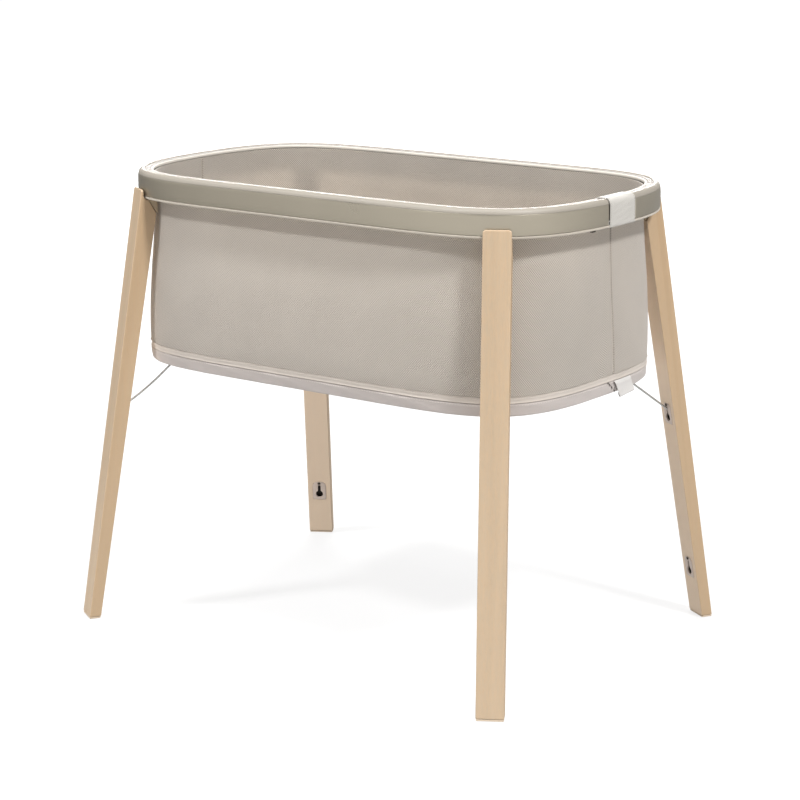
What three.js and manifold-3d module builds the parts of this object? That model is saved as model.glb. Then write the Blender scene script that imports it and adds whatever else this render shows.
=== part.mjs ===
// Bassinet on stand: an oval rim on four splayed beech legs, with a mesh basket hung
// inside it and four sprung steel stays that hold the basket's base to the legs.
// Millimetres, +Z up, +X along the length. The origin is on the floor under the centre.

import * as THREE from 'three';
import { mergeVertices } from 'three/addons/utils/BufferGeometryUtils.js';
import Module from 'manifold-3d';

const wasm = await Module();
wasm.setup();

// ---------------------------------------------------------------- driving dimensions

// Each oval is |x/a|^n + |y/b|^m = 1.
const RIM_OVAL = { a: 405.7, b: 228.9, n: 6.4, m: 2.46 };
const BASE_OVAL = { a: 377.5, b: 223.5, n: 6.2, m: 3.2 };
const OVAL_STEPS = 64;
const GAP = 0.35;

const RIM_TOP_Z = 700;
const BAND_TOP_Z = 692.4;
const BAND_SHOULDER_Z = 689;
const BAND_BOTTOM_Z = 662.5;
const LIP_BOTTOM_Z = 658.8;
const TAPE_OUTER_INSET = 11.2;
const TAPE_INNER_INSET = 18.9;

const STRAP_Y_MIN = -29;
const STRAP_Y_MAX = 37;
const STRAP_SLIT = 1.8;

const WALL_THICKNESS = 2.2;
const WALL_TOP_Z = 693.4;
const WALL_FOOT_Z = 434;
const SEAM_TAPE_WIDTH = 4;
const SEAM_Y = 13;
const HEM_BOTTOM_Z = 424.4;
const BASE_TOP_Z = 423.5;
const BASE_BOTTOM_Z = 405;
const BASE_FLOOR = 3;

const BOARD_THICKNESS = 4;
const MATTRESS_THICKNESS = 35;
const MATTRESS_OVAL = { a: 370, b: 200.5, n: 6.2, m: 2.5 };

// A leg is drawn in its own frame: u outwards, v sideways, z up, with u = 0 at the
// foot's outer edge.
const LEG_FOOT_X = 389.0;
const LEG_FOOT_Y = 295.7;
const LEG_TURN = THREE.MathUtils.degToRad(59.4);
const LEG_WIDTH = 40.2;
const LEG_TOP_Z = 672.5;
const LEG_SPLAY = 105.5;
const LEG_DEPTH_TOP = 29.3;
const LEG_DEPTH_FOOT = 18.3;
const LEG_EDGE = 1.6;
const PAD_THICKNESS = 2.5;
const NOTCH_FLOOR_Z = 656.6;
const NOTCH_U = -108.8;

const PLATE_WIDTH = 23;
const PLATE_HEIGHT = 33;
const PLATE_THICKNESS = 2.2;
const PLATE_RECESS = 2;
const UPPER_HOLE_AT = 329.4;
const LOWER_HOLE_AT = 74.6;
const KEYHOLE_RADIUS = 6.2;
const SLOT_RADIUS = 2.5;
const SLOT_RISE = 14.2;
const SCREW_RISE = 20.2;
const POCKET_DEPTH = 10;

const STAY_RADIUS = 1.5;
const STAY_PIVOT_U = -157;
const STAY_PIVOT_Z = 400.1;
const STAY_PIN_LENGTH = 11;
// Height, slope and bow of each side's stays, from the inner face of the leg inwards.
const STAY_LINES = { left: [337.6, 0.59, 0.00235], right: [337.9, 0.76, 0] };

// ---------------------------------------------------------------- materials

const LOOKS = {
  beech: { color: 0xd6b996, roughness: 0.5, metalness: 0 },
  pad: { color: 0x8f8c88, roughness: 0.9, metalness: 0 },
  plate: { color: 0xb9aba1, roughness: 0.45, metalness: 0 },
  screw: { color: 0x3c3833, roughness: 0.4, metalness: 0.8 },
  steel: { color: 0x8d8b88, roughness: 0.3, metalness: 1 },
  lug: { color: 0x9a958d, roughness: 0.5, metalness: 0 },
  rim: { color: 0xf2eeea, roughness: 0.45, metalness: 0 },
  tape: { color: 0xeae5df, roughness: 0.8, metalness: 0 },
  band: { color: 0xa39e92, roughness: 0.4, metalness: 0 },
  lip: { color: 0xc8c3b9, roughness: 0.6, metalness: 0 },
  bracket: { color: 0x8f846c, roughness: 0.5, metalness: 0 },
  strap: { color: 0xcbc9be, roughness: 0.8, metalness: 0 },
  mesh: { color: 0xb8aea4, roughness: 0.9, metalness: 0 },
  hem: { color: 0xd0c6ba, roughness: 0.85, metalness: 0 },
  base: { color: 0xc5bcba, roughness: 0.85, metalness: 0 },
  board: { color: 0xc9b08c, roughness: 0.7, metalness: 0 },
  mattress: { color: 0xf0eee9, roughness: 0.9, metalness: 0 },
};

const root = new THREE.Group();

function addPiece(parent, name, geometry, look) {
  const mesh = new THREE.Mesh(geometry, new THREE.MeshStandardMaterial(LOOKS[look]));
  mesh.name = name;
  parent.add(mesh);
  return mesh;
}

// ---------------------------------------------------------------- closed surfaces

function signedVolume(positions, index) {
  let sum = 0;
  const p = [new THREE.Vector3(), new THREE.Vector3(), new THREE.Vector3()];
  for (let i = 0; i < index.length; i += 3) {
    p.forEach((v, k) => v.fromArray(positions, 3 * index[i + k]));
    sum += p[0].dot(p[1].clone().cross(p[2]));
  }
  return sum / 6;
}

function closedGeometry(positions, index) {
  if (signedVolume(positions, index) < 0) {
    index.reverse();
  }
  const geometry = new THREE.BufferGeometry();
  geometry.setAttribute('position', new THREE.Float32BufferAttribute(positions, 3));
  geometry.setIndex(index);
  geometry.computeVertexNormals();
  return geometry;
}

// Joins the shared corners and drops the triangles that this leaves with no area.
function welded(geometry) {
  const bare = new THREE.BufferGeometry();
  bare.setAttribute('position', geometry.getAttribute('position'));
  if (geometry.index) {
    bare.setIndex(geometry.index);
  }
  const merged = mergeVertices(bare, 1e-4);
  const index = [];
  for (let i = 0; i < merged.index.count; i += 3) {
    const [a, b, c] = [0, 1, 2].map((k) => merged.index.getX(i + k));
    if (a !== b && b !== c && c !== a) {
      index.push(a, b, c);
    }
  }
  return closedGeometry(Array.from(merged.getAttribute('position').array), index);
}

function toSolid(geometry) {
  const closed = welded(geometry);
  return new wasm.Manifold(new wasm.Mesh({
    numProp: 3,
    vertProperties: new Float32Array(closed.getAttribute('position').array),
    triVerts: new Uint32Array(closed.index.array),
  }));
}

function fromSolid(solid) {
  const mesh = solid.getMesh();
  return closedGeometry(Array.from(mesh.vertProperties), Array.from(mesh.triVerts));
}

// ---------------------------------------------------------------- ovals

function signedPower(value, power) {
  return Math.sign(value) * Math.abs(value) ** power;
}

function ovalPoint(oval, t, inset) {
  const x = oval.a * signedPower(Math.cos(t), 2 / oval.n);
  const y = oval.b * signedPower(Math.sin(t), 2 / oval.m);
  const gx = (oval.n / oval.a) * signedPower(x / oval.a, oval.n - 1);
  const gy = (oval.m / oval.b) * signedPower(y / oval.b, oval.m - 1);
  const size = Math.hypot(gx, gy);
  return [x - (inset * gx) / size, y - (inset * gy) / size];
}

// Angle at which the rim's oval passes through the height y at its +X end.
function angleAtY(y) {
  return Math.asin(signedPower(y / RIM_OVAL.b, RIM_OVAL.m / 2));
}

// Angles that divide one quarter of the rim into equal lengths.
function quarterAngles(steps) {
  const fine = 4000;
  const lengths = [0];
  let last = ovalPoint(RIM_OVAL, 1e-9, 0);
  for (let i = 1; i <= fine; i += 1) {
    const next = ovalPoint(RIM_OVAL, (i / fine) * (Math.PI / 2), 0);
    lengths.push(lengths[i - 1] + Math.hypot(next[0] - last[0], next[1] - last[1]));
    last = next;
  }
  const angles = [];
  let at = 0;
  for (let k = 0; k < steps; k += 1) {
    while (lengths[at] < (lengths[fine] * k) / steps) {
      at += 1;
    }
    angles.push((at / fine) * (Math.PI / 2));
  }
  return angles;
}

const QUARTER = quarterAngles(OVAL_STEPS / 4);
const MIRRORED = [Math.PI / 2, ...QUARTER.slice(1).map((t) => Math.PI - t).reverse()];
const HALF = [...QUARTER, ...MIRRORED];
const FULL_ANGLES = [...HALF, ...HALF.map((t) => t + Math.PI)];

// The rim's stations between two angles, with both ends added.
function anglesBetween(start, end) {
  const turns = [...FULL_ANGLES, ...FULL_ANGLES.map((t) => t + 2 * Math.PI)];
  const inside = turns.filter((t) => t > start + 0.02 && t < end - 0.02);
  return [start, ...inside, end];
}

function rimOvalAt() {
  return RIM_OVAL;
}

// The hanging wall follows the rim at the top and eases out to the base's oval below it.
const WALL_SHAPES = [
  { z: BASE_BOTTOM_Z, ...BASE_OVAL, inset: 0 },
  { z: WALL_FOOT_Z, a: 379, b: 226.5, n: 6.2, m: 3.1 },
  { z: 480, a: 381, b: 226, n: 6.2, m: 3.0 },
  { z: 540, a: 382, b: 221.5, n: 6.3, m: 2.8 },
  { z: 600, a: 382.5, b: 213, n: 6.35, m: 2.65 },
  { z: 655, a: 383.6, b: 207.3, n: 6.4, m: 2.5 },
  { z: RIM_TOP_Z, a: 384.1, b: 207.3, n: 6.4, m: 2.46 },
];

function wallOvalAt(z) {
  let k = 1;
  while (k < WALL_SHAPES.length - 1 && WALL_SHAPES[k].z < z) {
    k += 1;
  }
  const low = WALL_SHAPES[k - 1];
  const high = WALL_SHAPES[k];
  const f = THREE.MathUtils.clamp((z - low.z) / (high.z - low.z), 0, 1);
  const mix = (key) => low[key] + f * (high[key] - low[key]);
  return { a: mix('a'), b: mix('b'), n: mix('n'), m: mix('m') };
}

// Sweeps a closed section of [inset, z] points round an oval. A full ring closes on
// itself. A part ring gets a cap at each end, and its section lists one side upwards and
// then the other side downwards, with as many points on each.
function ovalSweep(section, ovalAt, angles, isRing) {
  const positions = [];
  for (const t of angles) {
    for (const [inset, z] of section) {
      positions.push(...ovalPoint(ovalAt(z), t, inset), z);
    }
  }
  const size = section.length;
  const spans = isRing ? angles.length : angles.length - 1;
  const index = [];
  for (let i = 0; i < spans; i += 1) {
    const j = (i + 1) % angles.length;
    for (let k = 0; k < size; k += 1) {
      const l = (k + 1) % size;
      const quad = [i * size + k, i * size + l, j * size + l, j * size + k];
      index.push(quad[0], quad[1], quad[2], quad[0], quad[2], quad[3]);
    }
  }
  if (!isRing) {
    addSweepCaps(size, angles.length, index);
  }
  return closedGeometry(positions, index);
}

// Both caps are strips of quads between the section's two sides.
function addSweepCaps(size, stations, index) {
  const far = (stations - 1) * size;
  for (let k = 0; k < size / 2 - 1; k += 1) {
    const [a, b, c, d] = [k, k + 1, size - 2 - k, size - 1 - k];
    index.push(c, b, a, d, c, a);
    index.push(far + a, far + b, far + c, far + a, far + c, far + d);
  }
}

// A solid slab whose edge follows an open list of [inset, z] points, bottom first.
function ovalSlab(edge, ovalAt) {
  const positions = [];
  for (const t of FULL_ANGLES) {
    for (const [inset, z] of edge) {
      positions.push(...ovalPoint(ovalAt(z), t, inset), z);
    }
  }
  const size = edge.length;
  const count = FULL_ANGLES.length;
  const bottom = positions.length / 3;
  positions.push(0, 0, edge[0][1]);
  positions.push(0, 0, edge[size - 1][1]);
  const index = [];
  for (let i = 0; i < count; i += 1) {
    const a = i * size;
    const b = ((i + 1) % count) * size;
    for (let k = 0; k < size - 1; k += 1) {
      index.push(a + k, b + k, b + k + 1, a + k, b + k + 1, a + k + 1);
    }
    index.push(bottom, b, a);
    index.push(bottom + 1, a + size - 1, b + size - 1);
  }
  return closedGeometry(positions, index);
}

// ---------------------------------------------------------------- rim

function buildRim() {
  const frame = [
    [3.2, BAND_BOTTOM_Z], [3.2, BAND_TOP_Z - 0.2], [0.8, BAND_TOP_Z + 0.2],
    [1.5, 695.8], [4.6, 699.2], [8.4, RIM_TOP_Z], [10.8, 699.3],
    [10.8, 694], [19.2, 694], [19.2, BAND_BOTTOM_Z],
  ];
  addPiece(root, 'rim_frame', ovalSweep(frame, rimOvalAt, FULL_ANGLES, true), 'rim');

  const tape = [
    [TAPE_OUTER_INSET, 694.4], [TAPE_OUTER_INSET, 699.1], [15, 699.7],
    [TAPE_INNER_INSET, 698.9], [TAPE_INNER_INSET, 694.4],
  ];
  addPiece(root, 'rim_top_tape', ovalSweep(tape, rimOvalAt, FULL_ANGLES, true), 'tape');

  const piping = [
    [19.5, 694.1], [19.5, 697.4], [21.4, 698.4], [23.6, 697.4], [24.2, 695.6], [23.6, 694.1],
  ];
  addPiece(root, 'rim_inner_piping', ovalSweep(piping, rimOvalAt, FULL_ANGLES, true), 'tape');

  const lip = [
    [0.4, 660.4], [0.4, 662.1], [19.2, 662.1], [19.2, LIP_BOTTOM_Z], [2, LIP_BOTTOM_Z],
  ];
  addPiece(root, 'rim_lip', ovalSweep(lip, rimOvalAt, FULL_ANGLES, true), 'lip');

  const band = [
    [0, BAND_BOTTOM_Z + 0.2], [0, BAND_SHOULDER_Z], [0.5, BAND_TOP_Z - 0.6],
    [2.8, BAND_TOP_Z - 0.6], [2.8, BAND_BOTTOM_Z + 0.2],
  ];
  const bandStart = angleAtY(STRAP_Y_MAX + GAP);
  const bandEnd = 2 * Math.PI + angleAtY(STRAP_Y_MIN - STRAP_SLIT);
  const bandAngles = anglesBetween(bandStart, bandEnd);
  addPiece(root, 'rim_band', ovalSweep(band, rimOvalAt, bandAngles, false), 'band');

  const strap = [
    [0, BAND_BOTTOM_Z + 0.1], [0, BAND_TOP_Z - 0.6],
    [2.8, BAND_TOP_Z - 0.6], [2.8, BAND_BOTTOM_Z + 0.1],
  ];
  const strapAngles = [];
  for (let i = 0; i <= 6; i += 1) {
    const y = STRAP_Y_MIN + (i / 6) * (STRAP_Y_MAX - STRAP_Y_MIN);
    strapAngles.push(angleAtY(y));
  }
  addPiece(root, 'rim_strap', ovalSweep(strap, rimOvalAt, strapAngles, false), 'strap');
}

// ---------------------------------------------------------------- basket

function wallSection(levels) {
  const outer = levels.map((z) => [0, z]);
  const inner = levels.map((z) => [WALL_THICKNESS, z]).reverse();
  return [...outer, ...inner];
}

function buildWalls() {
  const levels = [WALL_FOOT_Z, 480, 540, 600, 655, WALL_TOP_Z];
  const section = wallSection(levels);
  const near = angleAtY(SEAM_Y - SEAM_TAPE_WIDTH / 2 - GAP);
  const far = angleAtY(SEAM_Y + SEAM_TAPE_WIDTH / 2 + GAP);
  const back = anglesBetween(far, Math.PI + near);
  const front = anglesBetween(Math.PI + far, 2 * Math.PI + near);
  addPiece(root, 'mesh_panel_back', ovalSweep(section, wallOvalAt, back, false), 'mesh');
  addPiece(root, 'mesh_panel_front', ovalSweep(section, wallOvalAt, front, false), 'mesh');

  const tapeSection = levels.map((z) => [-0.3, z]);
  tapeSection.push(...levels.map((z) => [WALL_THICKNESS + 0.3, z]).reverse());
  const left = angleAtY(SEAM_Y - SEAM_TAPE_WIDTH / 2);
  const right = angleAtY(SEAM_Y + SEAM_TAPE_WIDTH / 2);
  for (const [name, turn] of [['right', 0], ['left', Math.PI]]) {
    const angles = [left + turn, right + turn];
    const tape = ovalSweep(tapeSection, wallOvalAt, angles, false);
    addPiece(root, `end_seam_${name}`, tape, 'hem');
  }
}

function buildBase() {
  const hem = [
    [-1.2, HEM_BOTTOM_Z], [-2, 427], [-1.2, WALL_FOOT_Z - GAP],
    [WALL_THICKNESS, WALL_FOOT_Z - GAP], [WALL_THICKNESS, HEM_BOTTOM_Z],
  ];
  addPiece(root, 'wall_hem', ovalSweep(hem, wallOvalAt, FULL_ANGLES, true), 'hem');

  const outside = toSolid(ovalSlab(
    [[3, BASE_BOTTOM_Z], [0.4, BASE_BOTTOM_Z + 2.5], [-0.6, BASE_TOP_Z]], wallOvalAt,
  ));
  const hollow = toSolid(ovalSlab(
    [[WALL_THICKNESS + 0.8, BASE_BOTTOM_Z + BASE_FLOOR], [WALL_THICKNESS, BASE_TOP_Z + 5]],
    wallOvalAt,
  ));
  addPiece(root, 'base_tray', fromSolid(outside.subtract(hollow)), 'base');

  const boardZ = BASE_BOTTOM_Z + BASE_FLOOR + GAP;
  const board = [[6, boardZ], [6, boardZ + BOARD_THICKNESS]];
  addPiece(root, 'floor_board', ovalSlab(board, wallOvalAt), 'board');

  const low = boardZ + BOARD_THICKNESS + GAP;
  const high = low + MATTRESS_THICKNESS;
  const edge = [
    [5, low], [1, low + 3], [0, low + 9], [0, high - 9], [1, high - 3], [5, high],
  ];
  addPiece(root, 'mattress', ovalSlab(edge, () => MATTRESS_OVAL), 'mattress');
}

// The loop of tape that hangs over the base's side at the +X end.
function buildBaseTab() {
  const section = [
    [-3.4, 397], [-3.6, BASE_TOP_Z - 1], [-2, BASE_TOP_Z - 0.2], [-1, BASE_TOP_Z - 1],
    [-1, 405], [-2.2, 397],
  ];
  const angles = [20, 28, 36, 44, 52].map((y) => angleAtY(y));
  addPiece(root, 'base_tab', ovalSweep(section, wallOvalAt, angles, false), 'strap');
}

// ---------------------------------------------------------------- legs

function outlineShape(points) {
  return new THREE.Shape(points.map(([x, y]) => new THREE.Vector2(x, y)));
}

// Extrudes an outline in the leg's u-z plane across its width.
function legExtrude(outline, width) {
  const options = { depth: width, bevelEnabled: false };
  const geometry = new THREE.ExtrudeGeometry(outlineShape(outline), options);
  geometry.translate(0, 0, -width / 2);
  return geometry.rotateX(Math.PI / 2);
}

function innerFaceU(z) {
  const f = z / LEG_TOP_Z;
  const depth = LEG_DEPTH_FOOT + f * (LEG_DEPTH_TOP - LEG_DEPTH_FOOT);
  return -LEG_SPLAY * f - depth;
}

function outerFaceU(z) {
  return (-LEG_SPLAY * z) / LEG_TOP_Z;
}

// The leg from the side: a tongue outside the rim, a notch under it and a bevelled shoulder.
function legOutline() {
  const footZ = PAD_THICKNESS + GAP;
  const notch = [
    [NOTCH_U + 0.4, LEG_TOP_Z], [NOTCH_U, LEG_TOP_Z - 1.2], [NOTCH_U, 663.2],
    [NOTCH_U - 1.1, 660.2], [NOTCH_U - 3.3, 657.9], [-116.4, NOTCH_FLOOR_Z],
  ];
  return [
    [outerFaceU(footZ), footZ], [outerFaceU(LEG_TOP_Z), LEG_TOP_Z], ...notch,
    [innerFaceU(634.8), 634.8], [innerFaceU(footZ), footZ],
  ];
}

// The tapered bar that the leg is cut from, with its four long edges taken off.
function legBarSolid() {
  const half = LEG_WIDTH / 2;
  const e = LEG_EDGE;
  const positions = [];
  for (const z of [-5, LEG_TOP_Z + 5]) {
    const out = outerFaceU(z);
    const inn = innerFaceU(z);
    positions.push(out, -half + e, z, out, half - e, z, out - e, half, z, inn + e, half, z);
    positions.push(inn, half - e, z, inn, -half + e, z, inn + e, -half, z, out - e, -half, z);
  }
  const index = [];
  for (let k = 0; k < 8; k += 1) {
    const l = (k + 1) % 8;
    index.push(k, l, l + 8, k, l + 8, k + 8);
  }
  for (let k = 1; k < 7; k += 1) {
    index.push(0, k + 1, k, 8, 8 + k, 9 + k);
  }
  return toSolid(closedGeometry(positions, index));
}

// The leg seen from outside: square at the foot, with rounded corners at the top.
function legFrontSolid() {
  const half = LEG_WIDTH / 2;
  const r = 4.5;
  const shape = new THREE.Shape();
  shape.moveTo(-half, 0);
  shape.lineTo(half, 0);
  shape.lineTo(half, LEG_TOP_Z - r);
  shape.absarc(half - r, LEG_TOP_Z - r, r, 0, Math.PI / 2, false);
  shape.lineTo(-half + r, LEG_TOP_Z);
  shape.absarc(-half + r, LEG_TOP_Z - r, r, Math.PI / 2, Math.PI, false);
  const options = { depth: 200, bevelEnabled: false, curveSegments: 3 };
  const geometry = new THREE.ExtrudeGeometry(shape, options);
  geometry.rotateX(Math.PI / 2);
  geometry.rotateZ(Math.PI / 2);
  geometry.translate(-160, 0, 0);
  return toSolid(geometry);
}

// Places a geometry drawn on the leg's inner face: x across, y up the face, z inwards.
function onInnerFace(geometry, along) {
  const up = new THREE.Vector3(innerFaceU(LEG_TOP_Z) - innerFaceU(0), 0, LEG_TOP_Z);
  up.normalize();
  const across = new THREE.Vector3(0, -1, 0);
  const inward = across.clone().cross(up);
  const matrix = new THREE.Matrix4().makeBasis(across, up, inward);
  matrix.setPosition(up.clone().multiplyScalar(along).add(
    new THREE.Vector3(innerFaceU(0), 0, 0),
  ));
  return geometry.clone().applyMatrix4(matrix);
}

function plateOutline(grow) {
  const half = PLATE_WIDTH / 2 + grow;
  const low = -10.5 - grow;
  const high = low + PLATE_HEIGHT + 2 * grow;
  const r = 8 + grow;
  const foot = 3 + grow;
  const shape = new THREE.Shape();
  shape.moveTo(-half + foot, low);
  shape.lineTo(half - foot, low);
  shape.absarc(half - foot, low + foot, foot, -Math.PI / 2, 0, false);
  shape.lineTo(half, high - r);
  shape.absarc(half - r, high - r, r, 0, Math.PI / 2, false);
  shape.lineTo(-half + r, high);
  shape.absarc(-half + r, high - r, r, Math.PI / 2, Math.PI, false);
  shape.lineTo(-half, low + foot);
  shape.absarc(-half + foot, low + foot, foot, Math.PI, 1.5 * Math.PI, false);
  return shape;
}

// The keyhole: a round hole with a narrow slot rising from it.
function keyholeOutline(grow) {
  const big = KEYHOLE_RADIUS + grow;
  const small = SLOT_RADIUS + grow;
  const shape = new THREE.Shape();
  const meet = Math.acos(small / big);
  shape.absarc(0, 0, big, Math.PI - meet, 2 * Math.PI + meet, false);
  shape.lineTo(small, SLOT_RISE);
  shape.absarc(0, SLOT_RISE, small, 0, Math.PI, false);
  return shape;
}

function block(shape, from, to, curveSegments = 3) {
  const options = { depth: to - from, bevelEnabled: false, curveSegments };
  return new THREE.ExtrudeGeometry(shape, options).translate(0, 0, from);
}

function disc(radius, from, to, y, sides = 10) {
  const geometry = new THREE.CylinderGeometry(radius, radius, to - from, sides);
  geometry.rotateX(Math.PI / 2);
  return geometry.translate(0, y, (from + to) / 2);
}

const PLATE_GEOMETRY = fromSolid(
  toSolid(block(plateOutline(0), -PLATE_RECESS + GAP, PLATE_THICKNESS - PLATE_RECESS + GAP))
    .subtract(toSolid(block(keyholeOutline(0), -5, 5, 6)))
    .subtract(toSolid(disc(1.9, -5, 5, SCREW_RISE))),
);

const SCREW_GEOMETRY = fromSolid(
  toSolid(disc(2.5, 0.9, 1.9, SCREW_RISE)).add(toSolid(disc(1.4, -11, 1.2, SCREW_RISE))),
);

function pocketSolid(along) {
  const recess = toSolid(onInnerFace(block(plateOutline(GAP), -PLATE_RECESS, 5), along));
  const keyhole = toSolid(onInnerFace(block(keyholeOutline(0.4), -POCKET_DEPTH, 4, 6), along));
  const pilot = toSolid(onInnerFace(disc(1.9, -11.6, 4, SCREW_RISE), along));
  return recess.add(keyhole).add(pilot);
}

const LEG_GEOMETRY = fromSolid(
  toSolid(legExtrude(legOutline(), LEG_WIDTH + 10))
    .intersect(legBarSolid())
    .intersect(legFrontSolid())
    .subtract(pocketSolid(UPPER_HOLE_AT))
    .subtract(pocketSolid(LOWER_HOLE_AT)),
);

// The wedge that fills the corner between the leg's bevelled shoulder and the rim.
const BRACKET_GEOMETRY = legExtrude(
  [[-115.6, 658.4], [-131, 658.4], [-131, 635.5], [-129.4, 635.5]], 36,
);

const PAD_GEOMETRY = legExtrude(
  [
    [-0.6, 0], [outerFaceU(PAD_THICKNESS) - 0.6, PAD_THICKNESS],
    [innerFaceU(PAD_THICKNESS) + 0.6, PAD_THICKNESS], [innerFaceU(0) + 0.6, 0],
  ], LEG_WIDTH - 1.4,
);

// ---------------------------------------------------------------- stays

// A round rod along a list of points, with rounded ends.
function rod(points, radius, sides) {
  const positions = [];
  const rings = [];
  let side = new THREE.Vector3(0, 1, 0);
  points.forEach((point, i) => {
    const before = points[Math.max(i - 1, 0)];
    const after = points[Math.min(i + 1, points.length - 1)];
    const along = after.clone().sub(before).normalize();
    side = side.clone().addScaledVector(along, -side.dot(along)).normalize();
    const third = along.clone().cross(side);
    const isEnd = i === 0 || i === points.length - 1;
    const r = isEnd ? radius * 0.6 : radius;
    rings.push(positions.length / 3);
    for (let k = 0; k < sides; k += 1) {
      const angle = (2 * Math.PI * k) / sides;
      const vertex = point.clone().addScaledVector(side, r * Math.cos(angle));
      vertex.addScaledVector(third, r * Math.sin(angle));
      positions.push(vertex.x, vertex.y, vertex.z);
    }
  });
  return closedGeometry(positions, rodIndex(rings, sides));
}

function rodIndex(rings, sides) {
  const index = [];
  for (let i = 0; i < rings.length - 1; i += 1) {
    for (let k = 0; k < sides; k += 1) {
      const l = (k + 1) % sides;
      const a = rings[i];
      const b = rings[i + 1];
      index.push(a + k, a + l, b + l, a + k, b + l, b + k);
    }
  }
  const last = rings[rings.length - 1];
  for (let k = 1; k < sides - 1; k += 1) {
    index.push(0, k + 1, k);
    index.push(last, last + k, last + k + 1);
  }
  return index;
}

// The wire's middle line: hooked in the keyhole, rising to its eye, and bent over as a pin.
function stayPoints([height, slope, bow]) {
  const points = [];
  for (const u of [-70.6, -71.6, -76, -84, -94, -104, -114, -124, -134, -144, -151]) {
    const s = -u - 77;
    points.push(new THREE.Vector3(u, 0, height + slope * s + bow * s * s));
  }
  points.push(new THREE.Vector3(STAY_PIVOT_U + 2.2, 0.5, STAY_PIVOT_Z - 1.5));
  points.push(new THREE.Vector3(STAY_PIVOT_U + 0.4, 2.2, STAY_PIVOT_Z - 0.2));
  points.push(new THREE.Vector3(STAY_PIVOT_U, 4.4, STAY_PIVOT_Z));
  points.push(new THREE.Vector3(STAY_PIVOT_U, STAY_PIN_LENGTH - 1, STAY_PIVOT_Z));
  points.push(new THREE.Vector3(STAY_PIVOT_U, STAY_PIN_LENGTH, STAY_PIVOT_Z));
  return points;
}

function lugGeometry() {
  const body = new THREE.BoxGeometry(10, 5.4, 8.2);
  body.translate(STAY_PIVOT_U, 7.9, BASE_BOTTOM_Z - GAP - 4.1);
  const bore = new THREE.CylinderGeometry(1.95, 1.95, 20, 12);
  bore.translate(STAY_PIVOT_U, 8, STAY_PIVOT_Z);
  return fromSolid(toSolid(body).subtract(toSolid(bore)));
}

const LUG_GEOMETRY = lugGeometry();

// ---------------------------------------------------------------- one corner

// Mirroring one corner onto the others keeps every face pointing out.
function mirrored(geometry, signX, signY) {
  const matrix = new THREE.Matrix4()
    .makeScale(signX, signY, 1)
    .multiply(new THREE.Matrix4().makeTranslation(LEG_FOOT_X, LEG_FOOT_Y, 0))
    .multiply(new THREE.Matrix4().makeRotationZ(LEG_TURN));
  return welded(geometry.clone().applyMatrix4(matrix));
}

function buildCorner(name, signX, signY) {
  const corner = new THREE.Group();
  const add = (piece, geometry, look) => {
    addPiece(corner, `${piece}_${name}`, mirrored(geometry, signX, signY), look);
  };
  add('leg', LEG_GEOMETRY, 'beech');
  add('foot_pad', PAD_GEOMETRY, 'pad');
  add('leg_bracket', BRACKET_GEOMETRY, 'bracket');
  for (const [level, along] of [['upper', UPPER_HOLE_AT], ['lower', LOWER_HOLE_AT]]) {
    add(`keyhole_plate_${level}`, onInnerFace(PLATE_GEOMETRY, along), 'plate');
    add(`plate_screw_${level}`, onInnerFace(SCREW_GEOMETRY, along), 'screw');
  }
  const line = signX < 0 ? STAY_LINES.left : STAY_LINES.right;
  add('stay', rod(stayPoints(line), STAY_RADIUS, 8), 'steel');
  add('stay_lug', LUG_GEOMETRY, 'lug');
  root.add(corner);
}

buildRim();
buildWalls();
buildBase();
buildBaseTab();
buildCorner('front_right', 1, -1);
buildCorner('front_left', -1, -1);
buildCorner('back_right', 1, 1);
buildCorner('back_left', -1, 1);

export default root;
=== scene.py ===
"""Looks of the bassinet on stand: an oval rim on four splayed beech legs, with a mesh basket
hung inside it, a covered base with a mattress on it, and four bare steel stays.

Metres, +Z up, +X along the length, with the origin on the floor under the centre. The shapes
repeat the CAD model's driving dimensions in millimetres, so every piece lands on its node.
"""

import math
from contextlib import contextmanager

import bmesh
import bpy
import numpy as np
from mathutils import Matrix, Vector


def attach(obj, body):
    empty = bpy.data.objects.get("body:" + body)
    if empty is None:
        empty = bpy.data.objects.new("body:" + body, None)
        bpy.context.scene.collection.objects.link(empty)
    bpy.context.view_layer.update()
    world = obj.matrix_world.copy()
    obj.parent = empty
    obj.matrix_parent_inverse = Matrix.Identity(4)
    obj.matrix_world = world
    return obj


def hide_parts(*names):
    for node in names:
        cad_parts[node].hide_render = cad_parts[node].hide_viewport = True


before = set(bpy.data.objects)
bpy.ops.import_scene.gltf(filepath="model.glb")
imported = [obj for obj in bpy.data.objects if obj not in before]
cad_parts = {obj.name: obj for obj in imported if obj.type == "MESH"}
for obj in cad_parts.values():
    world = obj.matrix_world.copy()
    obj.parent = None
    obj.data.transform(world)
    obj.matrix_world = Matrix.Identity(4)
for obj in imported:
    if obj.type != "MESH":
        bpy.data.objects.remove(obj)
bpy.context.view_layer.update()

# ------------------------------------------------------------------ driving dimensions, mm

MM = 0.001

# An oval is |x/a|^n + |y/b|^m = 1, as (a, b, n, m).
RIM_OVAL = (405.7, 228.9, 6.4, 2.46)
MATTRESS_OVAL = (370.0, 200.5, 6.2, 2.5)
WALL_SHAPES = [
    (405, 377.5, 223.5, 6.2, 3.2), (434, 379, 226.5, 6.2, 3.1), (480, 381, 226, 6.2, 3.0),
    (540, 382, 221.5, 6.3, 2.8), (600, 382.5, 213, 6.35, 2.65), (655, 383.6, 207.3, 6.4, 2.5),
    (700, 384.1, 207.3, 6.4, 2.46),
]
STATIONS = 480

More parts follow.
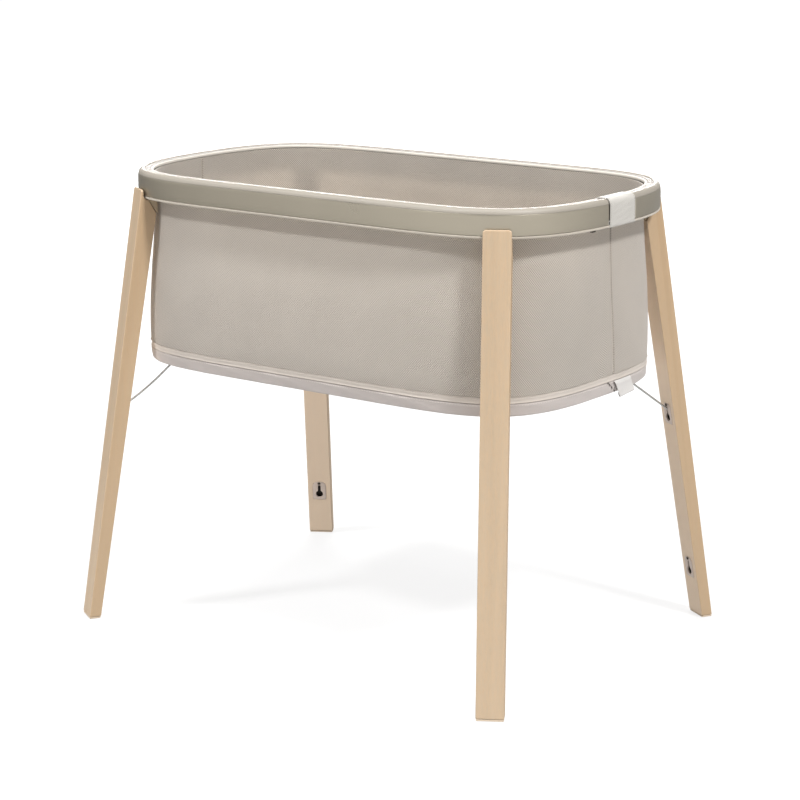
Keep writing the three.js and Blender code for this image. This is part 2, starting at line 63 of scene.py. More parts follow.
BAND_BOTTOM_Z = 662.5
STRAP_Y = (-29.0, 37.0)
STRAP_SLIT = 2.5
STRAP_SLOT_INSET = 7.5
WALL_THICKNESS = 2.2
WALL_TOP_Z = 693.4
WALL_FOOT_Z = 434.0
SEAM_Y = 13.0
SEAM_WIDTH = 4.0
SEAM_LEAN = (4.0, -12.5)
SEAM_FADE = (0.08, 0.3)
BASE_BOTTOM_Z = 405.0
SLIT_LINE = (11.5, -0.82)
SLIT_DEPTH = 2.4
SLIT_HALF_WIDTH = 1.1
TAB_Y = 15.5
TAB_SLANT = 14.0
TAB_WIDTH = 39.0
TAB_TAPER = 1.5
TAB_TOP_Z = 423.3
TAB_DROP = 26
MATTRESS_Z = (412.7, 447.7)
MATTRESS_EDGE = 9.0
PAD_INSET = 2.5

LEG_FOOT = (389.0, 295.7)
LEG_TURN = math.radians(59.4)
LEG_WIDTH = 40.2
LEG_TOP_Z = 672.5
LEG_SPLAY = 105.5
LEG_DEPTH_TOP = 29.3
LEG_DEPTH_FOOT = 18.3
PAD_THICKNESS = 2.5
UPPER_HOLE_AT = 329.4
LOWER_HOLE_AT = 74.6
KEYHOLE_RADIUS = 6.2
SLOT_RADIUS = 2.5
SLOT_RISE = 14.2
SCREW_RISE = 20.2
PLATE_RECESS = 2.0
STAY_RADIUS = 1.5
STAY_PIVOT = (-157.0, 400.1)
STAY_LINES = {"left": (337.6, 0.59, 0.00235), "right": (337.9, 0.76, 0.0)}

CORNERS = {
    "front_right": (1, -1), "front_left": (-1, -1), "back_right": (1, 1), "back_left": (-1, 1),
}

# ------------------------------------------------------------------ camera, lights and floor

CAMERA_PLACE = (2.21048, -2.88316, 1.22058)
CAMERA_YAW = -0.65187
CAMERA_PITCH = -0.2360
CAMERA_ROLL = -0.00602
CAMERA_LENS = 108.92

# Name, azimuth and elevation in degrees, size in metres, and power in watts.
LIGHTS = [
    ("key_left", -122, 49, 1.0, 520), ("key_right", -14, 50, 1.0, 710),
    ("overhead", -90, 84, 4.0, 300), ("behind", 125, 8, 5.0, 1800),
]
LIGHT_DISTANCE = 9.0
FILL_LIGHT = (0.40, 0.36)
FILL_ALONG = (0.35, 0.55, -0.75)
FLOOR_BOUNCE = 0.66
# Azimuth in degrees and brightness of the card that shiny parts reflect.
CARD_GLOW = [
    (-180, 0.22), (-147, 0.32), (-133, 0.52), (-127, 0.70), (-121, 0.86), (-108, 1.04),
    (-10, 1.04), (3, 0.95), (15, 0.86), (35, 0.60), (52, 0.44), (92, 0.4), (130, 0.28), (180, 0.22),
]
CARD_RADIUS = 1350
CARD_HEIGHTS = (5, 1000)
FLOOR_ALBEDO = 0.2
FLOOR_GLOW = (0.75, 0.94)


def add_camera():
    data = bpy.data.cameras.new("camera")
    data.lens = CAMERA_LENS
    data.sensor_width = 36.0
    data.clip_end = 200.0
    camera = add_object("camera", data)
    ahead = Vector((math.sin(CAMERA_YAW) * math.cos(CAMERA_PITCH),
                    math.cos(CAMERA_YAW) * math.cos(CAMERA_PITCH), math.sin(CAMERA_PITCH)))
    right = Vector((math.cos(CAMERA_YAW), -math.sin(CAMERA_YAW), 0.0))
    up = right.cross(ahead)
    turned = right * math.cos(CAMERA_ROLL) + up * math.sin(CAMERA_ROLL)
    raised = up * math.cos(CAMERA_ROLL) - right * math.sin(CAMERA_ROLL)
    turn = Matrix((turned, raised, -ahead)).transposed()
    camera.matrix_world = Matrix.Translation(CAMERA_PLACE) @ turn.to_4x4()
    bpy.context.scene.camera = camera


def add_area_light(name, place, target, size, power):
    data = bpy.data.lights.new(name, "AREA")
    data.shape = "RECTANGLE"
    data.size = data.size_y = size
    data.energy = power
    light = add_object(name, data)
    light.location = place
    light.rotation_euler = (target - place).to_track_quat("-Z", "Y").to_euler()


def add_world():
    """White studio: plain white behind the object, and soft light from all round."""
    world = bpy.data.worlds.new("studio")
    bpy.context.scene.world = world
    world.use_nodes = True
    tree = Nodes(world.node_tree)
    along = tree.node("ShaderNodeVectorMath", operation="DOT_PRODUCT")
    tree.put(along.inputs[0], tree.node("ShaderNodeTexCoord").outputs["Generated"])
    along.inputs[1].default_value = FILL_ALONG
    fill = tree.node("ShaderNodeBackground")
    fill.inputs["Color"].default_value = (1.0, 0.997, 0.992, 1)
    tree.put(fill.inputs["Strength"], tree.ramp(along.outputs["Value"], *FILL_LIGHT, -0.7, 0.8))
    seen = tree.node("ShaderNodeBackground")
    seen.inputs["Color"].default_value = (1, 1, 1, 1)
    mix = tree.node("ShaderNodeMixShader")
    tree.put(mix.inputs["Fac"], tree.node("ShaderNodeLightPath").outputs["Is Camera Ray"])
    tree.put(mix.inputs[1], fill.outputs[0])
    tree.put(mix.inputs[2], seen.outputs[0])
    tree.put(tree.node("ShaderNodeOutputWorld").inputs["Surface"], mix.outputs[0])


def add_floor():
    """A plain pale studio floor, a round sheet wide enough to pass out of sight."""
    points = [(30 * math.cos(t), 30 * math.sin(t), -0.0004)
              for t in np.linspace(0, 2 * math.pi, 96, endpoint=False)]
    floor = new_object("studio_floor", points, [tuple(range(96))], smooth=False)
    kit = Kit("studio_floor", (FLOOR_ALBEDO,) * 3, 1.0)
    kit.set("Specular IOR Level", 0.0)
    kit.set("Emission Color", (1, 1, 1, 1))
    away = kit.node("ShaderNodeVectorMath", operation="LENGTH")
    kit.put(away.inputs[0], kit.place())
    glow = kit.ramp(away.outputs["Value"], *FLOOR_GLOW, 1.0, 4.5)
    seen = kit.node("ShaderNodeLightPath").outputs["Is Camera Ray"]
    kit.put(kit.shader.inputs["Emission Strength"],
            kit.math("MULTIPLY", glow, kit.ramp(seen, FLOOR_BOUNCE, 1.0)))
    floor.data.materials.append(kit.material)


def add_reflector():
    """A ring of graded card round the set, seen only in the reflections of shiny parts."""
    turns = np.linspace(0, 360, 181)[:-1]
    rows = [[(CARD_RADIUS * math.cos(t), CARD_RADIUS * math.sin(t), z) for z in CARD_HEIGHTS]
            for t in np.radians(turns)]
    card = grid_object("studio_card", np.array(rows) * MM, True, False)
    glow = np.interp((turns + 180) % 360 - 180, *zip(*CARD_GLOW))
    values = card.data.attributes.new("glow", "FLOAT", "POINT")
    values.data.foreach_set("value", np.repeat(glow, 2).astype(np.float32))
    kit = Kit("studio_card", (0, 0, 0), 1.0)
    light = kit.node("ShaderNodeEmission")
    kit.put(light.inputs["Strength"], kit.attribute("glow", "Fac"))
    kit.links.new(light.outputs[0], kit.out.inputs["Surface"])
    card.data.materials.append(kit.material)
    card.visible_camera = card.visible_diffuse = card.visible_shadow = False
    card.visible_transmission = False


def add_studio():
    scene = bpy.context.scene
    scene.view_settings.view_transform = "Standard"
    scene.view_settings.look = "None"
    add_world()
    add_floor()
    add_reflector()
    for name, azimuth, elevation, size, power in LIGHTS:
        turn, rise = math.radians(azimuth), math.radians(elevation)
        target = Vector((0, 0, 0.5))
        place = target + LIGHT_DISTANCE * Vector((math.cos(turn) * math.cos(rise),
                                                  math.sin(turn) * math.cos(rise),
                                                  math.sin(rise)))
        add_area_light(name, place, target, size, power)


# ------------------------------------------------------------------ material nodes


def linear(colour):
    """Linear light of an 8-bit sRGB colour."""
    parts = [c / 255 for c in colour]
    return tuple(p / 12.92 if p <= 0.04045 else ((p + 0.055) / 1.055) ** 2.4 for p in parts)


class Nodes:
    """A node tree, and short calls that add nodes to it."""

    def __init__(self, tree):
        self.nodes, self.links = tree.nodes, tree.links
        self.nodes.clear()

    def node(self, kind, **settings):
        made = self.nodes.new(kind)
        for key, value in settings.items():
            setattr(made, key, value)
        return made

    def put(self, socket, value):
        """Joins value to the socket if it is an output, or sets the socket's number."""
        if isinstance(value, bpy.types.NodeSocket):
            self.links.new(value, socket)
        else:
            socket.default_value = value

    def ramp(self, value, low, high, start=0.0, end=1.0):
        """Maps value from start..end to low..high, and stops at both."""
        made = self.node("ShaderNodeMapRange", clamp=True)
        for socket, number in zip(made.inputs, (value, start, end, low, high)):
            self.put(socket, number)
        return made.outputs[0]


class Kit(Nodes):
    """A material with one Principled shader."""

    def __init__(self, name, colour, roughness):
        self.material = bpy.data.materials.new(name)
        self.material.use_nodes = True
        super().__init__(self.material.node_tree)
        self.out = self.node("ShaderNodeOutputMaterial")
        self.shader = self.node("ShaderNodeBsdfPrincipled")
        self.links.new(self.shader.outputs[0], self.out.inputs["Surface"])
        self.set("Base Color", (*colour, 1))
        self.set("Roughness", roughness)

    def set(self, socket, value):
        self.shader.inputs[socket].default_value = value

    def place(self):
        return self.node("ShaderNodeTexCoord").outputs["Object"]

    def attribute(self, name, output="Vector"):
        return self.node("ShaderNodeAttribute", attribute_name=name).outputs[output]

    def uv(self):
        return self.node("ShaderNodeUVMap", uv_map="flat").outputs["UV"]

    def scaled(self, vector, scale):
        mapping = self.node("ShaderNodeMapping")
        self.put(mapping.inputs["Vector"], vector)
        mapping.inputs["Scale"].default_value = scale
        return mapping.outputs["Vector"]

    def noise(self, vector, scale, detail=2.0, roughness=0.5):
        noise = self.node("ShaderNodeTexNoise")
        self.put(noise.inputs["Vector"], vector)
        noise.inputs["Scale"].default_value = scale
        noise.inputs["Detail"].default_value = detail
        noise.inputs["Roughness"].default_value = roughness
        return noise.outputs["Fac"]

    def math(self, operation, first, second=0.0):
        made = self.node("ShaderNodeMath", operation=operation)
        for socket, value in zip(made.inputs, (first, second)):
            self.put(socket, value)
        return made.outputs[0]

    def split(self, vector):
        made = self.node("ShaderNodeSeparateXYZ")
        self.put(made.inputs[0], vector)
        return made.outputs

    def mix(self, amount, first, second):
        made = self.node("ShaderNodeMix", data_type="RGBA")
        self.put(made.inputs["Factor"], amount)
        for socket, colour in ((made.inputs[6], first), (made.inputs[7], second)):
            self.put(socket, colour if isinstance(colour, bpy.types.NodeSocket)
                     else (*colour, 1))
        return made.outputs[2]

    def tones(self, value, base, dark, pale, start=0.3, end=0.7):
        """The base colour shaded from dark to pale as value goes from start to end."""
        return self.mix(self.ramp(value, 0, 1, start, end), shade(base, dark), shade(base, pale))

    def edges(self, start, end):
        """How far the surface is an outer edge, up to 0.35."""
        pointed = self.node("ShaderNodeNewGeometry").outputs["Pointiness"]
        return self.ramp(pointed, 0, 0.35, start, end)

    def colour(self, value):
        self.put(self.shader.inputs["Base Color"], value)

    def rough(self, value):
        self.put(self.shader.inputs["Roughness"], value)

    def bump(self, height, distance, strength=1.0):
        """Raises the surface by height times distance in metres, over any earlier bump."""
        made = self.node("ShaderNodeBump")
        made.inputs["Strength"].default_value = strength
        made.inputs["Distance"].default_value = distance
        self.put(made.inputs["Height"], height)
        before = self.shader.inputs["Normal"].links
        if before:
            self.links.new(before[0].from_socket, made.inputs["Normal"])
        self.links.new(made.outputs[0], self.shader.inputs["Normal"])

    def let_light_through(self, colour, share):
        """Mixes in a share of light that comes through from behind."""
        behind = self.node("ShaderNodeBsdfTranslucent")
        self.put(behind.inputs["Color"], colour)
        mix = self.node("ShaderNodeMixShader")
        mix.inputs["Fac"].default_value = share
        self.links.new(self.shader.outputs[0], mix.inputs[1])
        self.links.new(behind.outputs[0], mix.inputs[2])
        self.links.new(mix.outputs[0], self.out.inputs["Surface"])


def shade(colour, factor):
    return tuple(min(1.0, c * factor) for c in colour)


# ------------------------------------------------------------------ materials


def beech():
    """Oiled beech: fine grain, short flecks, darker sides, painted light that makes the inner faces
    paler, and a painted highlight on the edges.
    """
    base = linear((181, 160, 134))
    kit = Kit("beech", base, 0.5)
    kit.set("Specular IOR Level", 0.3)
    grain = kit.attribute("grain")
    bands = kit.noise(kit.scaled(grain, (14, 60, 1.3)), 1.0, 3.0)
    fine = kit.noise(kit.scaled(grain, (420, 420, 7)), 1.0, 3.0, 0.6)
    fleck = kit.noise(kit.scaled(grain, (700, 1600, 60)), 1.0, 1.0)
    pores = kit.ramp(fleck, 1.0, 0.0, 0.30, 0.38)
    first = kit.tones(bands, base, 0.94, 1.05)
    warm = kit.mix(kit.ramp(fine, 0, 0.36, 0.35, 0.75), first, linear((201, 166, 129)))
    flecked = kit.mix(kit.math("MULTIPLY", pores, 0.2), warm, linear((172, 134, 98)))
    face = kit.attribute("face_kind", "Fac")
    # Darker sides, where face_kind is 1.
    sides_and_painted_light = kit.mix(kit.ramp(face, 0, 0.5, 0, 1), flecked, linear((172, 141, 104)))
    # Painted light: the inner faces, where face_kind is -1, are made paler as if more brightly lit.
    sides_and_painted_light = kit.mix(kit.ramp(face, 0.7, 0, -1, 0), sides_and_painted_light, linear((234, 212, 188)))
    # Painted highlight: the outer edges are made paler.
    kit.colour(kit.mix(kit.edges(0.52, 0.58), sides_and_painted_light, linear((236, 216, 190))))
    kit.rough(kit.ramp(fine, 0.42, 0.58, 0.3, 0.7))
    kit.bump(fine, 0.00010)
    kit.bump(kit.math("SUBTRACT", 0, pores), 0.00005)
    return kit.material


def spacer_mesh():
    """Knitted spacer mesh: rows of small holes, set half a step apart from row to row."""
    base = linear((210, 202, 192))
    pitch = 0.0033
    kit = Kit("spacer_mesh", base, 0.85)
    kit.set("Sheen Weight", 0.4)
    kit.set("Sheen Roughness", 0.5)
    u, v, _ = kit.split(kit.uv())
    across = kit.math("MULTIPLY", u, 2 * math.pi / pitch)
    along = kit.math("MULTIPLY", v, 2 * math.pi / (pitch * 1.15))
    first = kit.math("COSINE", kit.math("ADD", across, along))
    second = kit.math("COSINE", kit.math("SUBTRACT", across, along))
    cells = kit.math("ADD", kit.math("MULTIPLY", first, 0.25), kit.math("MULTIPLY", second, 0.25))
    thread = kit.noise(kit.uv(), 2600, 1.0)
    height = kit.math("ADD", kit.math("ADD", cells, 0.5), kit.math("MULTIPLY", thread, 0.15))
    hole = kit.ramp(height, 1.0, 0.0, 0.14, 0.50)
    cloud = kit.ramp(kit.noise(kit.place(), 9, 2.0), 0.965, 1.035, 0.3, 0.7)
    yarn = kit.tones(height, base, 0.86, 1.13, 0.3, 1.0)
    dark = kit.mix(kit.math("MULTIPLY", hole, 0.58), yarn, linear((120, 106, 92)))
    tint = kit.node("ShaderNodeVectorMath", operation="SCALE")
    kit.put(tint.inputs[0], dark)
    kit.put(tint.inputs["Scale"], cloud)
    kit.colour(tint.outputs[0])
    kit.bump(kit.ramp(height, 0, 1, 0.1, 0.7), 0.0005, 0.8)
    kit.let_light_through(tint.outputs[0], 0.38)
    return kit.material


def woven(name, colour, roughness, pitch, sheen=0.2):
    """Plain woven cloth or tape, from crossed threads in the surface's own place."""
    base = linear(colour)
    kit = Kit(name, base, roughness)
    kit.set("Sheen Weight", sheen)
    kit.set("Sheen Roughness", 0.5)
    place = kit.place()
    threads = []
    for turn in (0, 1):
        wave = kit.node("ShaderNodeTexWave", wave_type="BANDS", wave_profile="SIN")
        wave.bands_direction = "Z" if turn else "DIAGONAL"
        kit.put(wave.inputs["Vector"], place)
        wave.inputs["Scale"].default_value = 0.314 / pitch / (1 if turn else 1.4)
        wave.inputs["Distortion"].default_value = 0.6
        wave.inputs["Detail Scale"].default_value = 40.0
        threads.append(wave.outputs["Fac"])
    weave = kit.math("MULTIPLY", threads[0], threads[1])
    slub = kit.noise(kit.scaled(place, (60, 60, 900)), 1.0, 2.0)
    cloud = kit.noise(place, 14, 3.0)
    soft = kit.tones(cloud, base, 0.95, 1.04)
    dark = kit.mix(kit.ramp(weave, 0.30, 0.0, 0.0, 0.5), soft, shade(base, 0.72))
    kit.colour(kit.mix(kit.ramp(slub, 0, 0.25, 0.55, 0.8), dark, shade(base, 1.10)))
    kit.bump(weave, 0.00012)
    kit.bump(cloud, 0.0012, 0.25)
    return kit.material


def moulded(name, colour, roughness, speckle=0.03, metallic=0.0):
    """Moulded or painted part: fine texture, faint clouding, and edges made paler as a painted
    highlight.
    """
    base = linear(colour)
    kit = Kit(name, base, roughness)
    kit.set("Metallic", metallic)
    place = kit.place()
    fine = kit.noise(place, 1800, 2.0)
    cloud = kit.noise(place, 11, 3.0)
    soft = kit.tones(cloud, base, 1 - speckle, 1 + speckle)
    # Painted highlight: the edges are made paler.
    kit.colour(kit.mix(kit.edges(0.53, 0.62), soft, shade(base, 1.18)))
    kit.rough(kit.ramp(cloud, roughness - 0.05, roughness + 0.07, 0.3, 0.7))
    kit.bump(fine, 0.00005, 0.5)
    return kit.material


def steel():
    """Drawn steel wire: fine lines along it and a few duller patches."""
    base = linear((176, 175, 172))
    kit = Kit("stay_steel", base, 0.28)
    kit.set("Metallic", 1.0)
    place = kit.place()
    drawn = kit.noise(kit.scaled(place, (900, 900, 25)), 1.0, 2.0)
    dull = kit.noise(place, 45, 2.0)
    kit.colour(kit.tones(drawn, base, 0.82, 1.1))
    kit.rough(kit.ramp(dull, 0.22, 0.42, 0.35, 0.7))
    kit.bump(drawn, 0.00003)
    return kit.material


def plywood():
    """Birch ply of the floor board: rolling face grain."""
    base = linear((205, 180, 145))
    kit = Kit("board_wood", base, 0.65)
    grain = kit.noise(kit.scaled(kit.place(), (3, 70, 200)), 1.0, 3.0)
    kit.colour(kit.tones(grain, base, 0.86, 1.08))
    kit.rough(kit.ramp(grain, 0.58, 0.72, 0.3, 0.7))
    kit.bump(grain, 0.0001)
    return kit.material


# Colour, roughness, and speckle and metal where they aren't the usual ones.
MOULDED = {
    "foot_pad": ((205, 187, 165), 0.85),
    "plate_plastic": ((200, 184, 172), 0.42, 0.02),
    # Near-black painted shade for the keyhole pockets and the slit in the base.
    "painted_hole_shade": ((46, 38, 30), 0.6),
    "screw_steel": ((70, 64, 56), 0.38, 0.1, 0.7),
    "lug_plastic": ((160, 154, 146), 0.5),
    "rim_plastic": ((150, 143, 132), 0.5, 0.012),
    "band_plastic": ((170, 162, 146), 0.32, 0.02, 0.75),
    "bracket_plastic": ((166, 147, 119), 0.5),
}
# Colour, roughness, the threads' pitch in metres, and sheen where it isn't the usual one.
WOVEN = {
    "tape_fabric": ((150, 143, 136), 0.8, 0.0009),
    "lip_fabric": ((190, 181, 167), 0.75, 0.0009),
    "tab_fabric": ((216, 212, 208), 0.8, 0.0007),
    "seam_fabric": ((184, 174, 163), 0.85, 0.0009),
    "piping_fabric": ((206, 200, 191), 0.8, 0.0009),
    "strap_fabric": ((190, 186, 179), 0.8, 0.0007),
    "hem_fabric": ((203, 193, 183), 0.85, 0.0009),
    "base_fabric": ((189, 180, 175), 0.85, 0.0007),
    "mattress_fabric": ((177, 174, 169), 0.9, 0.0006, 0.0),
    "thread_dark": ((118, 106, 93), 0.8, 0.0005),
    "thread_pale": ((222, 214, 203), 0.8, 0.0005),
}


def make_materials():
    made = {"beech": beech(), "mesh_fabric": spacer_mesh(), "stay_steel": steel(),
            "board_wood": plywood()}
    made.update({name: moulded(name, *finish) for name, finish in MOULDED.items()})
    made.update({name: woven(name, *finish) for name, finish in WOVEN.items()})
    return made


# ------------------------------------------------------------------ meshes


def add_object(name, data):
    obj = bpy.data.objects.new(name, data)
    bpy.context.scene.collection.objects.link(obj)
    return obj


@contextmanager
def edited(mesh):
    """Opens a mesh for editing, and writes it back afterwards."""
    bm = bmesh.new()
    bm.from_mesh(mesh)
    bm.verts.ensure_lookup_table()
    yield bm
    bm.to_mesh(mesh)
    bm.free()


def new_object(name, points, faces, smooth=True):
    mesh = bpy.data.meshes.new(name)
    mesh.from_pydata([tuple(map(float, p)) for p in points], [], faces)
    mesh.update()
    if smooth:
        mesh.shade_smooth()
    return add_object(name, mesh)


def face_outwards(obj):
    with edited(obj.data) as bm:
        bmesh.ops.recalc_face_normals(bm, faces=bm.faces)
    return obj


def grid_object(name, rows, closed_rows, closed_columns, caps=False):
    """A mesh over rows of points, with a UV map named flat that measures it in metres."""
    rows = np.asarray(rows, float)
    count, width, _ = rows.shape
    row_ids = np.arange(count if closed_rows else count - 1)
    column_ids = np.arange(width if closed_columns else width - 1)
    i, k = (g.ravel() for g in np.meshgrid(row_ids, column_ids, indexing="ij"))
    j, m = (i + 1) % count, (k + 1) % width
    quads = np.stack([i * width + k, j * width + k, j * width + m, i * width + m], 1)
    faces = [tuple(q) for q in quads.tolist()]
    along = arc_lengths(rows.mean(1), closed_rows)
    across = arc_lengths(rows[0], closed_columns)
    u = np.stack([along[i], along[i + 1], along[i + 1], along[i]], 1)
    v = np.stack([across[k], across[k], across[k + 1], across[k + 1]], 1)
    flat = np.stack([u, v], -1).reshape(-1)
    if caps:
        first, last = list(range(width)), list(range((count - 1) * width, count * width))
        for end in (first, last[::-1]):
            for k in range(width // 2 - 1):
                faces.append((end[k], end[k + 1], end[width - 2 - k], end[width - 1 - k]))
                flat = np.concatenate([flat, np.zeros(8)])
    obj = new_object(name, rows.reshape(-1, 3), faces)
    layer = obj.data.uv_layers.new(name="flat")
    layer.data.foreach_set("uv", flat.astype(np.float32))
    return obj


def arc_lengths(points, closed):
    """Distance along a line of points, with one more entry at the end where it closes."""
    points = np.vstack([points, points[:1]]) if closed else points
    steps = np.linalg.norm(np.diff(points, axis=0), axis=1)
    return np.concatenate([[0.0], np.cumsum(steps)])


def evaluated(obj):
    """Applies obj's modifiers to its mesh."""
    depsgraph = bpy.context.evaluated_depsgraph_get()
    mesh = bpy.data.meshes.new_from_object(obj.evaluated_get(depsgraph))
    obj.modifiers.clear()
    obj.data = mesh
    return obj


def finish_piece(obj, body, slot, *nodes, look=None):
    """Puts the finish on a piece, and makes it ride on its body and stand for its nodes."""
    obj.data.materials.clear()
    obj.data.materials.append(MATERIALS[look or slot])
    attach(obj, body)
    if nodes:
        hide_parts(*nodes)
    return obj


# ------------------------------------------------------------------ ovals


def signed_power(value, power):
    return np.sign(value) * np.abs(value) ** power


def oval_points(oval, angles, inset=0.0):
    a, b, n, m = oval
    x = a * signed_power(np.cos(angles), 2 / n)
    y = b * signed_power(np.sin(angles), 2 / m)
    gx = n / a * signed_power(x / a, n - 1)
    gy = m / b * signed_power(y / b, m - 1)
    size = np.hypot(gx, gy)
    return np.stack([x - inset * gx / size, y - inset * gy / size], -1)


def angle_at_y(y):
    """Angle at which the rim's oval passes through y at its +X end."""
    return float(np.arcsin(signed_power(np.asarray(y / RIM_OVAL[1]), RIM_OVAL[3] / 2)))


def quarter_angles(steps):
    """Angles that divide a quarter of the rim into equal lengths."""
    share = np.linspace(0, 1, 6001)
    fine = math.pi / 2 * (1 - (1 - share) ** 3.2)
    length = arc_lengths(oval_points(RIM_OVAL, fine), False)
    return np.interp(np.linspace(0, length[-1], steps + 1), length, fine)


def ring_angles(stations=STATIONS):
    quarter = quarter_angles(stations // 4)
    half = np.concatenate([quarter[:-1], math.pi - quarter[:0:-1]])
    return np.concatenate([half, half + math.pi])


def angles_between(start, end):
    ring = ring_angles()
    turns = np.concatenate([ring - 2 * math.pi, ring, ring + 2 * math.pi])
    inside = np.sort(turns[(turns > start + 1e-3) & (turns < end - 1e-3)])
    return np.concatenate([[start], inside, [end]])


def curve_at(place, places, values):
    """The value at a place on a smooth curve through the values at the given places."""
    slopes = np.gradient(values, places, axis=0)
    k = int(np.clip(np.searchsorted(places, place) - 1, 0, len(places) - 2))
    span = places[k + 1] - places[k]
    t = float(np.clip((place - places[k]) / span, 0, 1))
    low = values[k] * (1 + 2 * t) * (1 - t) ** 2 + slopes[k] * span * t * (1 - t) ** 2
    high = values[k + 1] * t * t * (3 - 2 * t) + slopes[k + 1] * span * t * t * (t - 1)
    return low + high


def wall_oval(z):
    """The hanging wall's oval at the height z, on a smooth curve through WALL_SHAPES."""
    table = np.array(WALL_SHAPES, float)
    return tuple(curve_at(z, table[:, 0], table[:, 1:]))


def rim_oval(_z):
    return RIM_OVAL


def layered(layers):
    """Rows of points in metres from layers of outline points and a height, in mm."""
    return np.stack([np.insert(outline, 2, z, 1) for outline, z in layers], 1) * MM


def sweep_rows(section, oval_at, angles):
    """Rows of points, one for each angle, from a section of (inset, z) points in mm."""
    return layered((oval_points(oval_at(z), angles, inset), z) for inset, z in section)


def sweep(name, section, oval_at, angles=None):
    """A closed solid: a full ring, or a part of one with flat ends where angles are given."""
    ring = angles is None
    rows = sweep_rows(section, oval_at, ring_angles() if ring else angles)
    return face_outwards(grid_object(name, rows, ring, True, caps=not ring))


def rounded_section(corners, steps=5):
    """A closed section whose corners (inset, z, radius) are rounded off."""
    points = []
    count = len(corners)
    for i, (x, z, radius) in enumerate(corners):
        here = Vector((x, z))
        before = (Vector(corners[i - 1][:2]) - here).normalized()
        after = (Vector(corners[(i + 1) % count][:2]) - here).normalized()
        if radius <= 0:
            points.append((x, z))
            continue
        half = math.acos(max(-1, min(1, before.dot(after)))) / 2
        reach = radius / math.tan(half)
        start, end = here + before * reach, here + after * reach
        centre = here + (before + after).normalized() * (radius / math.sin(half))
        first = math.atan2(start.y - centre.y, start.x - centre.x)
        turn = math.atan2(end.y - centre.y, end.x - centre.x) - first
        turn = (turn + math.pi) % (2 * math.pi) - math.pi
        for s in range(steps + 1):
            angle = first + turn * s / steps
            points.append((centre.x + radius * math.cos(angle),
                           centre.y + radius * math.sin(angle)))
    return points


# ------------------------------------------------------------------ rim


def arc_points(centre, radii, start, end, steps):
    angles = np.radians(np.linspace(start, end, steps + 1))
    return [(centre[0] + radii[0] * math.cos(t), centre[1] + radii[1] * math.sin(t))
            for t in angles]


def build_rim():
    """The rim's frame, with a narrow slot beside the strap, and what is laid on it and round it."""
    crown = arc_points((8.4, 690.9), (7.6, 9.1), 172, 90, 12)
    section = [
        (3.2, BAND_BOTTOM_Z), (3.2, 692.0), (1.2, 692.0), *crown, (10.2, 699.6),
        (10.8, 698.8), (10.8, 694), (19.2, 694), (19.2, BAND_BOTTOM_Z),
    ]
    slot = [STRAP_Y[0] - STRAP_SLIT - 0.15, STRAP_Y[0] - STRAP_SLIT, STRAP_Y[0] + 0.2,
            STRAP_Y[0] + 0.35]
    angles = np.unique(np.concatenate([RING, [angle_at_y(y) % (2 * math.pi) for y in slot]]))
    y = RIM_OVAL[1] * signed_power(np.sin(angles), 2 / RIM_OVAL[3])
    in_slot = (np.cos(angles) > 0) & (y > slot[1] - 0.05) & (y < slot[2] + 0.05)
    rows = sweep_rows(section, rim_oval, angles)
    deep = [(max(inset, STRAP_SLOT_INSET), z) for inset, z in section]
    rows[in_slot] = sweep_rows(deep, rim_oval, angles)[in_slot]
    frame_piece = face_outwards(grid_object("rim_frame_body", rows, True, True))
    finish_piece(frame_piece, "bassinet", "rim_plastic", "rim_frame")

    tape = [(11.2, 694.4), *arc_points((15.05, 697.6), (3.85, 1.4), 180, 0, 12), (18.9, 694.4)]
    finish_piece(sweep("rim_tape", tape, rim_oval), "bassinet", "tape_fabric", "rim_top_tape")

    piping = rounded_section([
        (19.5, 694.1, 0.3), (19.5, 698.5, 1.8), (23.9, 698.5, 2.2), (23.9, 694.1, 0.8),
    ])
    finish_piece(sweep("rim_piping", piping, rim_oval), "bassinet", "tape_fabric",
                 "rim_inner_piping", look="piping_fabric")

    lip = rounded_section([
        (0.1, 662.2, 0.9), (19.2, 662.2, 0.3), (19.2, 658.4, 0.3), (0.5, 658.4, 1.7),
    ])
    finish_piece(sweep("rim_lip_edge", lip, rim_oval), "bassinet", "lip_fabric", "rim_lip")

    band = [(0.9, BAND_BOTTOM_Z + 0.2), (0.35, BAND_BOTTOM_Z + 0.5), (0.1, BAND_BOTTOM_Z + 1.2),
            (0, 672), (0, 684), (0.1, 687.5), (0.3, 689.6), (0.62, 691.3), (1.0, 692.3),
            (1.5, 693.0), (2.0, 693.1), (2.3, 692.4), (2.8, 690.5), (2.8, 676),
            (2.8, BAND_BOTTOM_Z + 0.2)]
    start = angle_at_y(STRAP_Y[1] + 0.35)
    end = 2 * math.pi + angle_at_y(STRAP_Y[0] - STRAP_SLIT)
    finish_piece(sweep("rim_outer_band", band, rim_oval, angles_between(start, end)),
                 "bassinet", "band_plastic", "rim_band")


